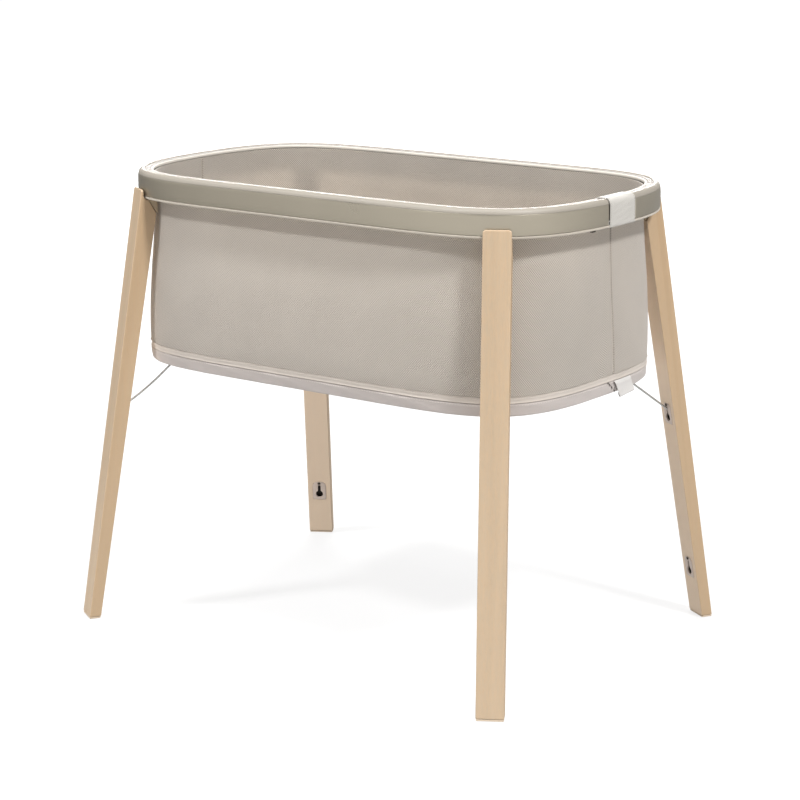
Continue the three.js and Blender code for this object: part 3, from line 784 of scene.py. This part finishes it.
def build_strap():
    """The strap: up over the piping and the rim's top, down outside the band, and under the lip."""
    crown = arc_points((8.4, 690.9), (8.75, 9.75), 90, 180, 10)
    middle = [
        (24.75, 695.4), (24.7, 697.2), (23.6, 699.3), (21.6, 700.1), (18.5, 700.25),
        (15.0, 700.35), (11.0, 700.5), *crown, (-0.45, 686), (-0.5, 676), (-0.5, 666),
        (-0.45, 661.4), (0.1, 659.0), (1.6, 658.15), (4.6, 658.0),
    ]
    path = smooth_line(middle, 90)
    angles = np.array([angle_at_y(y) for y in np.linspace(*STRAP_Y, 45)])
    i = np.arange(len(angles))
    edge = np.abs(2 * i / (len(angles) - 1) - 1)
    layers = []
    for k, (inset, z) in enumerate(path):
        lift = 0.12 * np.sin(0.55 * k + 0.25 * i) * (1 - edge ** 6)
        layers.append((oval_points(RIM_OVAL, angles, inset - lift), z))
    strap = grid_object("rim_strap_cloth", layered(layers), False, False)
    thicken(strap, 0.0007, 1.0)
    finish_piece(strap, "bassinet", "strap_fabric", "rim_strap")
    length = arc_lengths(np.array(path), False)[-1] * MM
    lines = []
    for y in (STRAP_Y[0] + 2.2, STRAP_Y[1] - 2.2):
        edge = [oval_points(RIM_OVAL, angle_at_y(y), inset) for inset, _ in path[12:]]
        lines.append([(p[0], p[1], z) for p, (_, z) in zip(edge, path[12:])])
    add_stitches("rim_strap_stitches", lines, "strap_fabric", 2.6, 3.9, 0.22, outwards=0.42)


def add_rim_trim():
    """The loop of cord at the strap's lower corner, and the small clip under the lip."""
    centre = Vector((405.3, -30.0, 665.6))
    points = [centre + Vector((0.3 * math.cos(t), 2.1 * math.cos(t), 2.7 * math.sin(t)))
              for t in np.linspace(-0.9, 4.6, 28)]
    loop = tube("rim_strap_loop", points, 0.45)
    finish_piece(loop, "bassinet", "strap_fabric")
    clip = bevelled_block("rim_lip_clip", (5.0, 8.0, 2.4), 0.7)
    spot = oval_points(RIM_OVAL, angle_at_y(-64.0), 3.6)
    clip.data.transform(Matrix.Translation((spot[0] * MM, spot[1] * MM, 0.65752)))
    finish_piece(clip, "bassinet", "screw_steel")


# ------------------------------------------------------------------ basket


def wall_ripple(angles, z):
    """Soft hollows and swells of the hanging fabric, in mm inwards."""
    height = (z - WALL_FOOT_Z) / (WALL_TOP_Z - WALL_FOOT_Z)
    middle = math.sin(math.pi * min(max(height, 0.0), 1.0))
    length = np.interp(angles % (2 * math.pi), RING, RING_LENGTHS[:-1])
    swell = 0.55 * np.sin(length / 71 + 4 * height) + 0.35 * np.sin(length / 33 - 5 * height + 1)
    gather = 0.30 * np.sin(length / 8.5 + 1.3 * np.sin(length / 47)) * math.exp(-height * 16)
    return middle * swell + gather * min(1.0, 12 * height)


def seam_turn(z):
    """Angle by which the panels turn at the height z, because the end seams lean a little."""
    height = (z - WALL_FOOT_Z) / (WALL_TOP_Z - WALL_FOOT_Z)
    return angle_at_y(SEAM_Y + SEAM_LEAN[0] + SEAM_LEAN[1] * height) - angle_at_y(SEAM_Y)


def wall_rows(angles, levels):
    """A panel's rows of points: the seams' lean fades out away from the ends."""
    far = np.clip((np.abs(np.sin(angles)) - SEAM_FADE[0]) / SEAM_FADE[1], 0, 1)
    layers = []
    for z in levels:
        turned = angles + seam_turn(z) * (1 - far * far * (3 - 2 * far))
        layers.append((oval_points(wall_oval(z), turned, wall_ripple(turned, z)), z))
    return layered(layers)


def build_walls():
    levels = np.linspace(WALL_FOOT_Z, WALL_TOP_Z, 66)
    near = angle_at_y(SEAM_Y - SEAM_WIDTH / 2 - 0.35)
    far = angle_at_y(SEAM_Y + SEAM_WIDTH / 2 + 0.35)
    spans = {"back": (far, math.pi + near), "front": (math.pi + far, 2 * math.pi + near)}
    for side, (start, end) in spans.items():
        rows = wall_rows(angles_between(start, end), levels)
        panel = grid_object(f"wall_panel_{side}", rows, False, False)
        thicken(panel, WALL_THICKNESS * MM, -1.0)
        finish_piece(panel, "bassinet", "mesh_fabric", f"mesh_panel_{side}")
        length = arc_lengths(rows.mean(1), False)[-1]


def build_end_seams():
    """Each end seam: two folded edges drawn together, and the thread that crosses them."""
    levels = np.linspace(WALL_FOOT_Z, WALL_TOP_Z, 130)
    across = np.array([-2.3, -2.2, -1.7, -1.0, -0.45, 0.0, 0.45, 1.0, 1.7, 2.2, 2.3])
    raised = np.array([0.5, 0.1, -0.25, -0.3, 0.15, 1.1, 0.15, -0.3, -0.25, 0.1, 0.5])
    for end, half_turn in (("right", 0.0), ("left", math.pi)):
        flat = np.array([angle_at_y(SEAM_Y + y) + half_turn for y in across])
        outer, inner = [], []
        for k, z in enumerate(levels):
            angles = flat + seam_turn(z)
            pucker = 0.10 * math.sin(k * 1.9)
            ripple = wall_ripple(angles, z)
            outer.append((oval_points(wall_oval(z), angles, raised + pucker + ripple), z))
            inner.append((oval_points(wall_oval(z), angles, 2.4 - 0.8 * raised + ripple), z))
        rows = layered(outer + inner[::-1])
        seam = face_outwards(grid_object(f"end_seam_{end}_fold", rows, False, True, True))
        finish_piece(seam, "bassinet", "hem_fabric", f"end_seam_{end}", look="seam_fabric")
        for side, inset in (("out", -0.42), ("in", 2.85)):
            lines = []
            for z in np.arange(WALL_FOOT_Z + 3, WALL_TOP_Z - 2, 3.6):
                line = []
                for height, y in ((z, -1.0), (z + 2.4, 1.0)):
                    angle = angle_at_y(SEAM_Y + y) + half_turn + seam_turn(height)
                    depth = inset + float(wall_ripple(angle, height))
                    spot = oval_points(wall_oval(height), angle, depth)
                    line.append((spot[0], spot[1], height))
                lines.append(line)
            add_stitches(f"end_seam_{end}_thread_{side}", lines, "thread_dark", 3.2, 9, 0.36)


def build_hem():
    """The bound hem: a soft, slightly uneven roll with one row of stitches."""
    outside = arc_points((-0.9, 429.0), (1.1, 4.6), 270, 90, 12)
    section = [(2.2, 424.4), *[(2 * -0.9 - x, z) for x, z in outside], (2.2, 433.65)]
    rows = sweep_rows(section, wall_oval, RING)
    length = RING_LENGTHS[:-1][:, None]
    normal = outward_normals(RING)
    pucker = 0.16 * np.sin(length / 1.9) + 0.45 * np.sin(length / 11 + 1.4 * np.sin(length / 37))
    soft = np.array([0.0] + [math.sin(math.pi * k / 12) for k in range(13)] + [0.0])
    rows[:, :, :2] += (pucker * soft)[:, :, None] * normal[:, None, :] * MM
    hem = face_outwards(grid_object("wall_hem_roll", rows, True, True))
    finish_piece(hem, "bassinet", "hem_fabric", "wall_hem")
    line = ring_line(431.4, -1.72, RING)
    add_stitches("wall_hem_stitches", [line], "thread_pale", 2.7, 4.2, 0.22, closed=True)


def ring_line(z, inset, angles):
    spots = oval_points(wall_oval(z), angles, inset)
    return [(x, y, z) for x, y in spots]


def outward_normals(angles):
    inner, outer = oval_points(RIM_OVAL, angles, 1.0), oval_points(RIM_OVAL, angles, 0.0)
    return outer - inner


def build_base():
    """The covered base: a shallow tray of fabric over board, with a slanted slit at its end."""
    slit = np.arange(-1.0, 23.0, 0.4)
    angles = np.unique(np.concatenate([RING, [angle_at_y(y) % (2 * math.pi) for y in slit]]))
    edge = arc_points((2.6, 408.0), (2.6, 3.0), 270, 180, 7)
    shape = [(0, BASE_BOTTOM_Z + 3, s) for s in (0.12, 0.4, 0.7, 0.9, 0.985)]
    shape += [(3.0, BASE_BOTTOM_Z + 3, 1), (2.4, 412, 1), (2.3, 422.6, 1), (1.6, 423.4, 1),
              (0.2, 423.4, 1), (-0.5, 422.8, 1), (-0.6, 419, 1), (-0.45, 414.5, 1)]
    shape += [(x, z, 1) for x, z in edge[::-1]]
    shape += [(2.6, BASE_BOTTOM_Z, s) for s in (0.985, 0.9, 0.7, 0.4, 0.12)]
    length = np.interp(angles, RING, RING_LENGTHS[:-1])
    layers = []
    for inset, z, scale in shape:
        outside = 1.0 if inset < 2 and z < 423.2 and scale == 1 else 0.0
        crease = 0.35 * np.sin(length / 19 + 0.3 * z) + 0.18 * np.sin(length / 6.5 - 0.5 * z)
        inset = inset + outside * (crease + slit_depth(angles, z))
        layers.append((oval_points(wall_oval(z), angles, inset) * scale, z))
    base = grid_object("base_cover", layered(layers), True, False)
    cap_ends(base, len(angles), len(shape))
    face_outwards(base)
    finish_piece(base, "bassinet", "base_fabric", "base_tray")
    lines = [ring_line(421.0, -0.78, RING)]
    add_stitches("base_cover_stitches", lines, "thread_pale", 2.6, 4.4, 0.2, closed=True)


def slit_middle(z):
    """Where the slanted slit at the +X end is at the height z, as a y on the rim's oval."""
    return SLIT_LINE[0] + SLIT_LINE[1] * (z - 417.0)


def slit_depth(angles, z):
    y = RIM_OVAL[1] * signed_power(np.sin(angles), 2 / RIM_OVAL[3])
    near_end = (np.cos(angles) > 0) * (z < 422.9)
    return SLIT_DEPTH * near_end * np.exp(-(((y - slit_middle(z)) / SLIT_HALF_WIDTH) ** 4))


def build_slit_shade():
    """A dark strip of painted shade at the bottom of the slit."""
    rows = []
    for z in np.linspace(406.2, 422.4, 14):
        angles = [angle_at_y(slit_middle(z) + y) for y in (-0.9, -0.45, 0, 0.45, 0.9)]
        rows.append([(*oval_points(wall_oval(z), t, -0.05), z) for t in angles])
    shade_strip = grid_object("base_slit_painted_shade", np.array(rows) * MM, False, False)
    thicken(shade_strip, 0.0005, 0.0)
    finish_piece(shade_strip, "bassinet", "base_fabric", look="painted_hole_shade")


def cap_ends(obj, stations, width):
    """Closes both open edges of a grid with flat faces."""
    with edited(obj.data) as bm:
        for column in (0, width - 1):
            bm.faces.new([bm.verts[i * width + column] for i in range(stations)])


def build_base_tab():
    """A loop of tape that hangs from the base's side, folded back under itself."""
    middle = [(-0.95, 422.8), (-1.9, 423.3), (-2.7, 421.5), (-3.1, 412.0), (-3.3, 402.0),
              (-3.2, 398.6), (-2.4, 397.5), (-1.6, 398.4), (-1.3, 401.0), (-1.15, 404.4)]
    path = smooth_line(middle, 46)
    rows = np.empty((33, len(path), 3))
    for i, share in enumerate(np.linspace(0, 1, 33)):
        for k, (inset, z) in enumerate(path):
            drop = (TAB_TOP_Z - z) / TAB_DROP
            y = TAB_Y + TAB_SLANT * drop + share * (TAB_WIDTH - TAB_TAPER * drop)
            curl = 0.35 * math.sin(3.1 * share + 0.15 * k) + 0.3 * drop * math.sin(9 * share)
            spot = oval_points(wall_oval(max(z, 405.0)), angle_at_y(y), inset - curl)
            rows[i, k] = (*spot, z + 2.4 * (share - 0.5) * drop)
    tab = grid_object("base_tab_loop", rows * MM, False, False)
    thicken(tab, 0.0006, 0.0)
    finish_piece(tab, "bassinet", "strap_fabric", "base_tab", look="tab_fabric")
    length = arc_lengths(np.array(path), False)[-1] * MM
    lines = [[rows[i, k] for k in range(3, 30)] for i in (2, 30)]
    add_stitches("base_tab_stitches", lines, "thread_pale", 2.2, 3.6, 0.18, outwards=0.34)


# ------------------------------------------------------------------ mattress


def build_mattress():
    low, high = MATTRESS_Z
    r = MATTRESS_EDGE
    edge = arc_points((r, low + r), (r, r), 270, 180, 6)
    edge += arc_points((r, high - r), (r, r), 180, 90, 6)
    scales = (0.1, 0.35, 0.6, 0.8, 0.93)
    shape = [(r, low, s) for s in scales] + [(x, z, 1) for x, z in edge]
    shape += [(r, high, s) for s in scales[::-1]]
    angles = ring_angles(240)
    pad = grid_object("mattress_pad", layered(
        (oval_points(MATTRESS_OVAL, angles, inset + PAD_INSET) * scale, z)
        for inset, z, scale in shape), True, False)
    cap_ends(pad, len(angles), len(shape))
    face_outwards(pad)
    puff(pad, voxel=0.006, pressure=4.0, cap=(0.0022, 0.0045))
    finish_piece(pad, "mattress", "mattress_fabric", "mattress")
    for level, z in (("top", high - 8.0), ("foot", low + 7.0)):
        path = [(x, y, z) for x, y in oval_points(MATTRESS_OVAL, angles, 0.4)]
        piping = tube(f"mattress_piping_{level}", [Vector(p) for p in path], 1.7, closed=True)
        finish_piece(piping, "mattress", "mattress_fabric")


def puff(obj, voxel, pressure, cap):
    """Swells a pad by cloth simulation, and limits how far a point moves sideways and up."""
    remesh = obj.modifiers.new("even", "REMESH")
    remesh.mode = "VOXEL"
    remesh.voxel_size = voxel
    evaluated(obj)
    start = vertex_array(obj.data)
    cloth = obj.modifiers.new("cloth", "CLOTH")
    cloth.settings.use_pressure = True
    cloth.settings.uniform_pressure_force = pressure
    cloth.settings.tension_stiffness = 25
    cloth.settings.compression_stiffness = 25
    cloth.settings.bending_stiffness = 2.0
    cloth.settings.effector_weights.gravity = 0
    cloth.settings.quality = 4
    scene = bpy.context.scene
    for step in range(1, 21):
        scene.frame_set(step)
    swollen = evaluated(obj)
    scene.frame_set(1)
    moved = vertex_array(swollen.data) - start
    sideways = np.linalg.norm(moved[:, :2], axis=1)
    moved[:, :2] *= np.minimum(1, cap[0] / np.maximum(sideways, 1e-9))[:, None]
    moved[:, 2] = np.clip(moved[:, 2], 0, cap[1])
    swollen.data.vertices.foreach_set("co", (start + moved).astype(np.float32).ravel())
    finer = swollen.modifiers.new("finer", "SUBSURF")
    finer.levels = finer.render_levels = 1
    evaluated(swollen)
    swollen.data.shade_smooth()


def vertex_array(mesh):
    points = np.empty(len(mesh.vertices) * 3, np.float32)
    mesh.vertices.foreach_get("co", points)
    return points.reshape(-1, 3).astype(float)


# ------------------------------------------------------------------ shared shapes


def smooth_line(points, count):
    """Evenly spaced points on a smooth curve through the given ones."""
    points = np.asarray(points, float)
    length = arc_lengths(points, False)
    return [curve_at(s, length, points) for s in np.linspace(0, length[-1], count)]


def thicken(obj, thickness, offset):
    solid = obj.modifiers.new("thickness", "SOLIDIFY")
    solid.thickness = thickness
    solid.offset = offset
    solid.use_even_offset = True
    evaluated(obj)
    obj.data.shade_smooth()
    obj.data.set_sharp_from_angle(angle=math.radians(50))
    face_outwards(obj)


def tube(name, points, radius, closed=False, sides=12):
    """A round tube in metres along points in mm, with rounded ends where it is open."""
    points = [Vector(p) for p in points]
    count = len(points)
    side = Vector((0.31, 0.17, 0.94))
    rows = []
    for i, point in enumerate(points):
        before = points[i - 1] if closed or i else point
        after = points[(i + 1) % count] if closed or i < count - 1 else point
        along = (after - before).normalized()
        side = (side - along * side.dot(along)).normalized()
        third = along.cross(side)
        ring = [(side * math.cos(t) + third * math.sin(t))
                for t in np.linspace(0, 2 * math.pi, sides, endpoint=False)]
        if not closed and i == 0:
            rows += end_rings(point, -along, ring, radius)[::-1]
        rows.append([point + r * radius for r in ring])
        if not closed and i == count - 1:
            rows += end_rings(point, along, ring, radius)
    obj = grid_object(name, np.array(rows) * MM, closed, True)
    if not closed:
        with edited(obj.data) as bm:
            bm.faces.new(bm.verts[:sides])
            bm.faces.new(bm.verts[-sides:])
    return face_outwards(obj)


def end_rings(point, out, ring, radius):
    """Shrinking rings that round off a tube's end."""
    return [[point + out * (radius * 0.5 * math.sin(t)) + r * (radius * math.cos(t))
             for r in ring] for t in (0.5, 0.95, 1.3)]


def bevelled_block(name, size, radius, segments=3):
    """A block centred on the origin, in metres, from a size in mm, with rounded edges."""
    mesh = bpy.data.meshes.new(name)
    with edited(mesh) as bm:
        bmesh.ops.create_cube(bm, size=1.0)
        bmesh.ops.scale(bm, vec=Vector(size) * MM, verts=bm.verts)
        bmesh.ops.bevel(bm, geom=bm.edges[:], offset=radius * MM, segments=segments,
                        profile=0.5, affect="EDGES")
    mesh.shade_smooth()
    return add_object(name, mesh)


def add_stitches(name, lines, slot_or_thread, length, pitch, radius, closed=False,
                 outwards=0.0):
    """Rows of short thread stitches along lines in mm, as one piece of small capsules."""
    profile = [(-0.5, 0.35), (-0.42, 0.8), (-0.25, 1.0), (0.25, 1.0), (0.42, 0.8), (0.5, 0.35)]
    sides = 6
    verts, faces = [], []
    for line in lines:
        points = np.asarray(line, float)
        reach = arc_lengths(points, closed)
        if closed:
            points = np.vstack([points, points[:1]])
        stitches = max(1, int(reach[-1] / pitch))
        for n in range(stitches):
            middle = (n + 0.5) / stitches * reach[-1]
            half = min(length, reach[-1] / stitches * 0.9) / 2
            ends = [np.array([np.interp(middle + s * half, reach, points[:, c])
                              for c in range(3)]) for s in (-1, 1)]
            centre, along = Vector((ends[0] + ends[1]) / 2), Vector(ends[1] - ends[0])
            out = Vector((centre.x, centre.y * 1.6, 0)).normalized()
            centre += out * outwards
            across = along.normalized().cross(out).normalized()
            up = across.cross(along.normalized())
            first = len(verts)
            for share, fat in profile:
                for t in np.linspace(0, 2 * math.pi, sides, endpoint=False):
                    arch = up * (-0.35 * radius * (2 * share) ** 2)
                    spot = centre + along * share + arch
                    spot += (across * math.cos(t) + up * math.sin(t)) * (radius * fat)
                    verts.append(spot * MM)
            rings = len(profile)
            for k in range(rings - 1):
                for j in range(sides):
                    a, b = first + k * sides + j, first + k * sides + (j + 1) % sides
                    faces.append((a, b, b + sides, a + sides))
            faces.append(tuple(first + j for j in reversed(range(sides))))
            faces.append(tuple(first + (rings - 1) * sides + j for j in range(sides)))
    obj = face_outwards(new_object(name, verts, faces))
    obj.data.materials.append(MATERIALS[slot_or_thread])
    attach(obj, "bassinet")
    return obj


# ------------------------------------------------------------------ legs


def outer_face_u(z):
    return -LEG_SPLAY * z / LEG_TOP_Z


def inner_face_u(z):
    share = z / LEG_TOP_Z
    return -LEG_SPLAY * share - (LEG_DEPTH_FOOT + share * (LEG_DEPTH_TOP - LEG_DEPTH_FOOT))


def inner_face_matrix(along):
    """Places what is drawn on a leg's inner face: x across, y up the face, z inwards."""
    up = Vector((inner_face_u(LEG_TOP_Z) - inner_face_u(0), 0, LEG_TOP_Z)).normalized()
    across = Vector((0, -1, 0))
    turn = Matrix((across, up, across.cross(up))).transposed().to_4x4()
    spot = up * along + Vector((inner_face_u(0), 0, 0))
    return Matrix.Translation(spot) @ turn


def extruded(name, outline, low, high, matrix=None):
    """A closed solid from an outline of (x, y) points raised from low to high, all in mm."""
    mesh = bpy.data.meshes.new(name)
    with edited(mesh) as bm:
        rings = [[bm.verts.new((x, y, z)) for x, y in outline] for z in (low, high)]
        bm.faces.new(rings[0][::-1])
        bm.faces.new(rings[1])
        for i in range(len(outline)):
            j = (i + 1) % len(outline)
            bm.faces.new((rings[0][i], rings[0][j], rings[1][j], rings[1][i]))
        bmesh.ops.recalc_face_normals(bm, faces=bm.faces)
        if matrix is not None:
            bm.transform(matrix)
    return add_object(name, mesh)


SIDEWAYS = Matrix(((1, 0, 0, 0), (0, 0, -1, 0), (0, 1, 0, 0), (0, 0, 0, 1)))


def bevel_sharp(obj, width, segments=4, angle=25):
    bevel = obj.modifiers.new("edges", "BEVEL")
    bevel.width = width
    bevel.segments = segments
    bevel.limit_method = "ANGLE"
    bevel.angle_limit = math.radians(angle)
    bevel.use_clamp_overlap = True
    evaluated(obj)


def cut(obj, *cutters):
    for cutter in cutters:
        boolean = obj.modifiers.new("cut", "BOOLEAN")
        boolean.operation = "DIFFERENCE"
        boolean.solver = "EXACT"
        boolean.object = cutter
        evaluated(obj)
        bpy.data.objects.remove(cutter)


def shade_by_angle(obj, degrees=38):
    obj.data.shade_smooth()
    obj.data.set_sharp_from_angle(angle=math.radians(degrees))
    weighted = obj.modifiers.new("even_shading", "WEIGHTED_NORMAL")
    weighted.keep_sharp = True
    evaluated(obj)


def plate_outline(grow):
    half, low = 11.5 + grow, -10.5 - grow
    high = low + 33 + 2 * grow
    top, foot = 8 + grow, 3 + grow
    points = []
    corners = [(half - foot, low + foot, foot), (half - top, high - top, top),
               (top - half, high - top, top), (foot - half, low + foot, foot)]
    for k, (x, y, radius) in enumerate(corners):
        points += arc_points((x, y), (radius, radius), 90 * k - 90, 90 * k, 8)
    return points


def keyhole_outline(grow):
    big, small = KEYHOLE_RADIUS + grow, SLOT_RADIUS + grow
    meet = math.degrees(math.acos(small / big))
    points = arc_points((0, 0), (big, big), 180 - meet, 360 + meet, 28)
    return points + arc_points((0, SLOT_RISE), (small, small), 0, 180, 14)


def circle_outline(radius, y, sides=24):
    return arc_points((0, y), (radius, radius), 0, 360 * (sides - 1) / sides, sides - 1)


def leg_mesh():
    """One leg in its own frame, in mm: tongue, notch under the rim, shoulder and keyholes."""
    foot = PAD_THICKNESS + 0.35
    notch = arc_points((-116.4, 664.2), (7.6, 7.6), 0, -90, 7)
    outline = [(outer_face_u(foot), foot), (outer_face_u(LEG_TOP_Z), LEG_TOP_Z),
               (-108.8, LEG_TOP_Z), *notch[:-1], (-116.4, 656.6),
               (inner_face_u(634.8), 634.8), (inner_face_u(foot), foot)]
    leg = extruded("leg_shape", outline, -LEG_WIDTH / 2, LEG_WIDTH / 2, SIDEWAYS)
    round_top_corners(leg)
    bevel_sharp(leg, 1.3)
    for along in (UPPER_HOLE_AT, LOWER_HOLE_AT):
        place = inner_face_matrix(along)
        cut(leg, extruded("recess", plate_outline(0.35), -PLATE_RECESS, 6, place),
            extruded("pocket", keyhole_outline(0.4), -10, 4, place),
            extruded("pilot", circle_outline(1.9, SCREW_RISE, 16), -11.6, 4, place))
    return leg


def paint_pocket_shade(leg, material_index):
    """Gives the keyhole pockets' own faces painted shade, in the leg's frame in mm."""
    places = [inner_face_matrix(a).inverted() for a in (UPPER_HOLE_AT, LOWER_HOLE_AT)]
    for face in leg.data.polygons:
        spots = [place @ face.center for place in places]
        if any(abs(p.x) < 7 and -8 < p.y < 18 and -10.6 < p.z < -PLATE_RECESS - 0.1
               for p in spots):
            face.material_index = material_index


def round_top_corners(leg):
    """Rounds the leg's two top corners as seen from outside."""
    with edited(leg.data) as bm:
        corners = [e for e in bm.edges
                   if all(abs(v.co.z - LEG_TOP_Z) < 0.01 for v in e.verts)
                   and abs(e.verts[0].co.y - e.verts[1].co.y) < 0.01]
        bmesh.ops.bevel(bm, geom=corners, offset=4.5, segments=7, profile=0.5, affect="EDGES")


def plate_mesh():
    plate = extruded("plate_shape", plate_outline(0), -1.65, 0.55)
    bevel_sharp(plate, 0.35, 3, 60)
    cut(plate, extruded("keyhole", keyhole_outline(0), -5, 5),
        extruded("screw_hole", circle_outline(1.9, SCREW_RISE), -5, 5))
    return plate


def screw_mesh():
    """A small flat-headed screw with a six-sided socket."""
    profile = [(1.4, -11), (1.4, 0.9), (2.15, 0.95), (2.5, 1.2), (2.45, 1.6), (2.1, 1.86),
               (1.6, 1.9)]
    rows = []
    for t in np.linspace(0, 2 * math.pi, 36, endpoint=False):
        flat = (t + math.pi / 6) % (math.pi / 3) - math.pi / 6
        socket = 1.15 * math.cos(math.pi / 6) / math.cos(flat)
        spots = [(0.5, -11.2)] + profile + [(socket, 1.88), (socket * 0.97, 0.7), (0.1, 0.55)]
        rows.append([(r * math.cos(t), SCREW_RISE + r * math.sin(t), z) for r, z in spots])
    screw = grid_object("screw_shape", rows, True, False)
    cap_ends(screw, 36, len(rows[0]))
    return face_outwards(screw)


def stay_mesh(height, slope, bow):
    """The sprung wire and the pin bent over at its inner end, in the leg's frame, in mm."""
    spots = []
    for u in (-70.6, -74, -79, -84, -94, -104, -114, -124, -134, -144, -151):
        s = -u - 77
        spots.append((u, 0, height + slope * s + bow * s * s))
    pivot_u, pivot_z = STAY_PIVOT
    spots += [(pivot_u + 2.2, 0.5, pivot_z - 1.5), (pivot_u + 0.4, 2.2, pivot_z - 0.2),
              (pivot_u, 4.4, pivot_z), (pivot_u, 7.5, pivot_z), (pivot_u, 10.6, pivot_z)]
    stay = tube("stay_shape", smooth_line(spots, 120), STAY_RADIUS, sides=16)
    stay.data.transform(Matrix.Scale(1 / MM, 4))
    return stay


def lug_mesh():
    pivot_u, pivot_z = STAY_PIVOT
    lug = bevelled_block("lug_shape", (10, 5.4, 8.2), 1.1, 4)
    place = Matrix.Translation((pivot_u, 7.9, BASE_BOTTOM_Z - 0.35 - 4.1))
    lug.data.transform(place @ Matrix.Scale(1 / MM, 4))
    place = Matrix.Translation((pivot_u, 8, pivot_z)) @ Matrix.Rotation(math.pi / 2, 4, "X")
    cut(lug, extruded("bore", circle_outline(1.95, 0), -10, 10, place))
    return lug


def bracket_mesh():
    outline = [(-115.6, 658.4), (-131, 658.4), (-131, 635.5), (-129.4, 635.5)]
    bracket = extruded("bracket_shape", outline, -18, 18, SIDEWAYS)
    bevel_sharp(bracket, 0.6, 3)
    return bracket


def pad_mesh():
    outline = [(-0.6, 0), (outer_face_u(PAD_THICKNESS) - 0.6, PAD_THICKNESS),
               (inner_face_u(PAD_THICKNESS) + 0.6, PAD_THICKNESS), (inner_face_u(0) + 0.6, 0)]
    half = (LEG_WIDTH - 1.4) / 2
    pad = extruded("pad_shape", outline, -half, half, SIDEWAYS)
    bevel_sharp(pad, 0.6, 3)
    return pad


def add_to_corners(shape, piece, slot, node, body="bassinet", place=None, angle=38,
                   side=None):
    """Copies a shape in mm in the leg's frame to the four corners, and removes it."""
    if place is not None:
        shape.data.transform(place)
    shade_by_angle(shape, angle)
    local = vertex_array(shape.data) * MM
    for k, (corner, (side_x, side_y)) in enumerate(CORNERS.items()):
        if side and not corner.endswith(side):
            continue
        mesh = shape.data.copy()
        grain = mesh.attributes.new("grain", "FLOAT_VECTOR", "POINT")
        shifted = local + np.array([0.31 * k, 0.17 * k, 1.7 * k])
        grain.data.foreach_set("vector", shifted.astype(np.float32).ravel())
        # face_kind is 1 on the sides, which beech() makes darker, and -1 on the inner faces, which
        # beech() paints paler as painted light.
        sideways = np.clip((np.abs(local[:, 1]) / MM - 19.3) / 0.7, 0, 1)
        inner = inner_face_u(local[:, 2] / MM) + 0.5 > local[:, 0] / MM
        kinds = mesh.attributes.new("face_kind", "FLOAT", "POINT")
        kinds.data.foreach_set("value", (sideways - inner * (1 - sideways)).astype(np.float32))
        to_world = (Matrix.Diagonal((side_x * MM, side_y * MM, MM, 1))
                    @ Matrix.Translation((*LEG_FOOT, 0)) @ Matrix.Rotation(LEG_TURN, 4, "Z"))
        mesh.transform(to_world)
        obj = add_object(f"{piece}_{corner}", mesh)
        if side_x * side_y < 0:
            mesh.flip_normals()
        finish_piece(obj, f"{body}_{corner}" if body == "stay" else body, slot,
                     f"{node}_{corner}")
        if slot == "beech":
            # Painted shade: the keyhole pockets' faces get a near-black material.
            obj.data.materials.append(MATERIALS["painted_hole_shade"])
            mesh.transform(to_world.inverted())
            paint_pocket_shade(obj, 1)
            mesh.transform(to_world)
    bpy.data.objects.remove(shape)


def build_corners():
    add_to_corners(leg_mesh(), "beech_leg", "beech", "leg")
    add_to_corners(pad_mesh(), "glide_pad", "foot_pad", "foot_pad")
    add_to_corners(bracket_mesh(), "rim_bracket", "bracket_plastic", "leg_bracket")
    for side, line in STAY_LINES.items():
        add_to_corners(stay_mesh(*line), "stay_wire", "stay_steel", "stay", body="stay",
                       angle=60, side=side)
    add_to_corners(lug_mesh(), "stay_eye", "lug_plastic", "stay_lug")
    for level, along in (("upper", UPPER_HOLE_AT), ("lower", LOWER_HOLE_AT)):
        place = inner_face_matrix(along)
        add_to_corners(plate_mesh(), f"keyhole_{level}", "plate_plastic",
                       f"keyhole_plate_{level}", place=place)
        add_to_corners(screw_mesh(), f"screw_{level}", "screw_steel",
                       f"plate_screw_{level}", place=place)


# ------------------------------------------------------------------ all pieces

MATERIALS = make_materials()
RING = ring_angles()
RING_LENGTHS = arc_lengths(oval_points(RIM_OVAL, RING), True)

add_camera()
add_studio()
build_rim()
build_strap()
add_rim_trim()
build_walls()
build_end_seams()
build_hem()
build_base()
build_slit_shade()
build_base_tab()
build_mattress()
build_corners()
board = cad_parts["floor_board"]
board.data.materials.clear()
board.data.materials.append(MATERIALS["board_wood"])
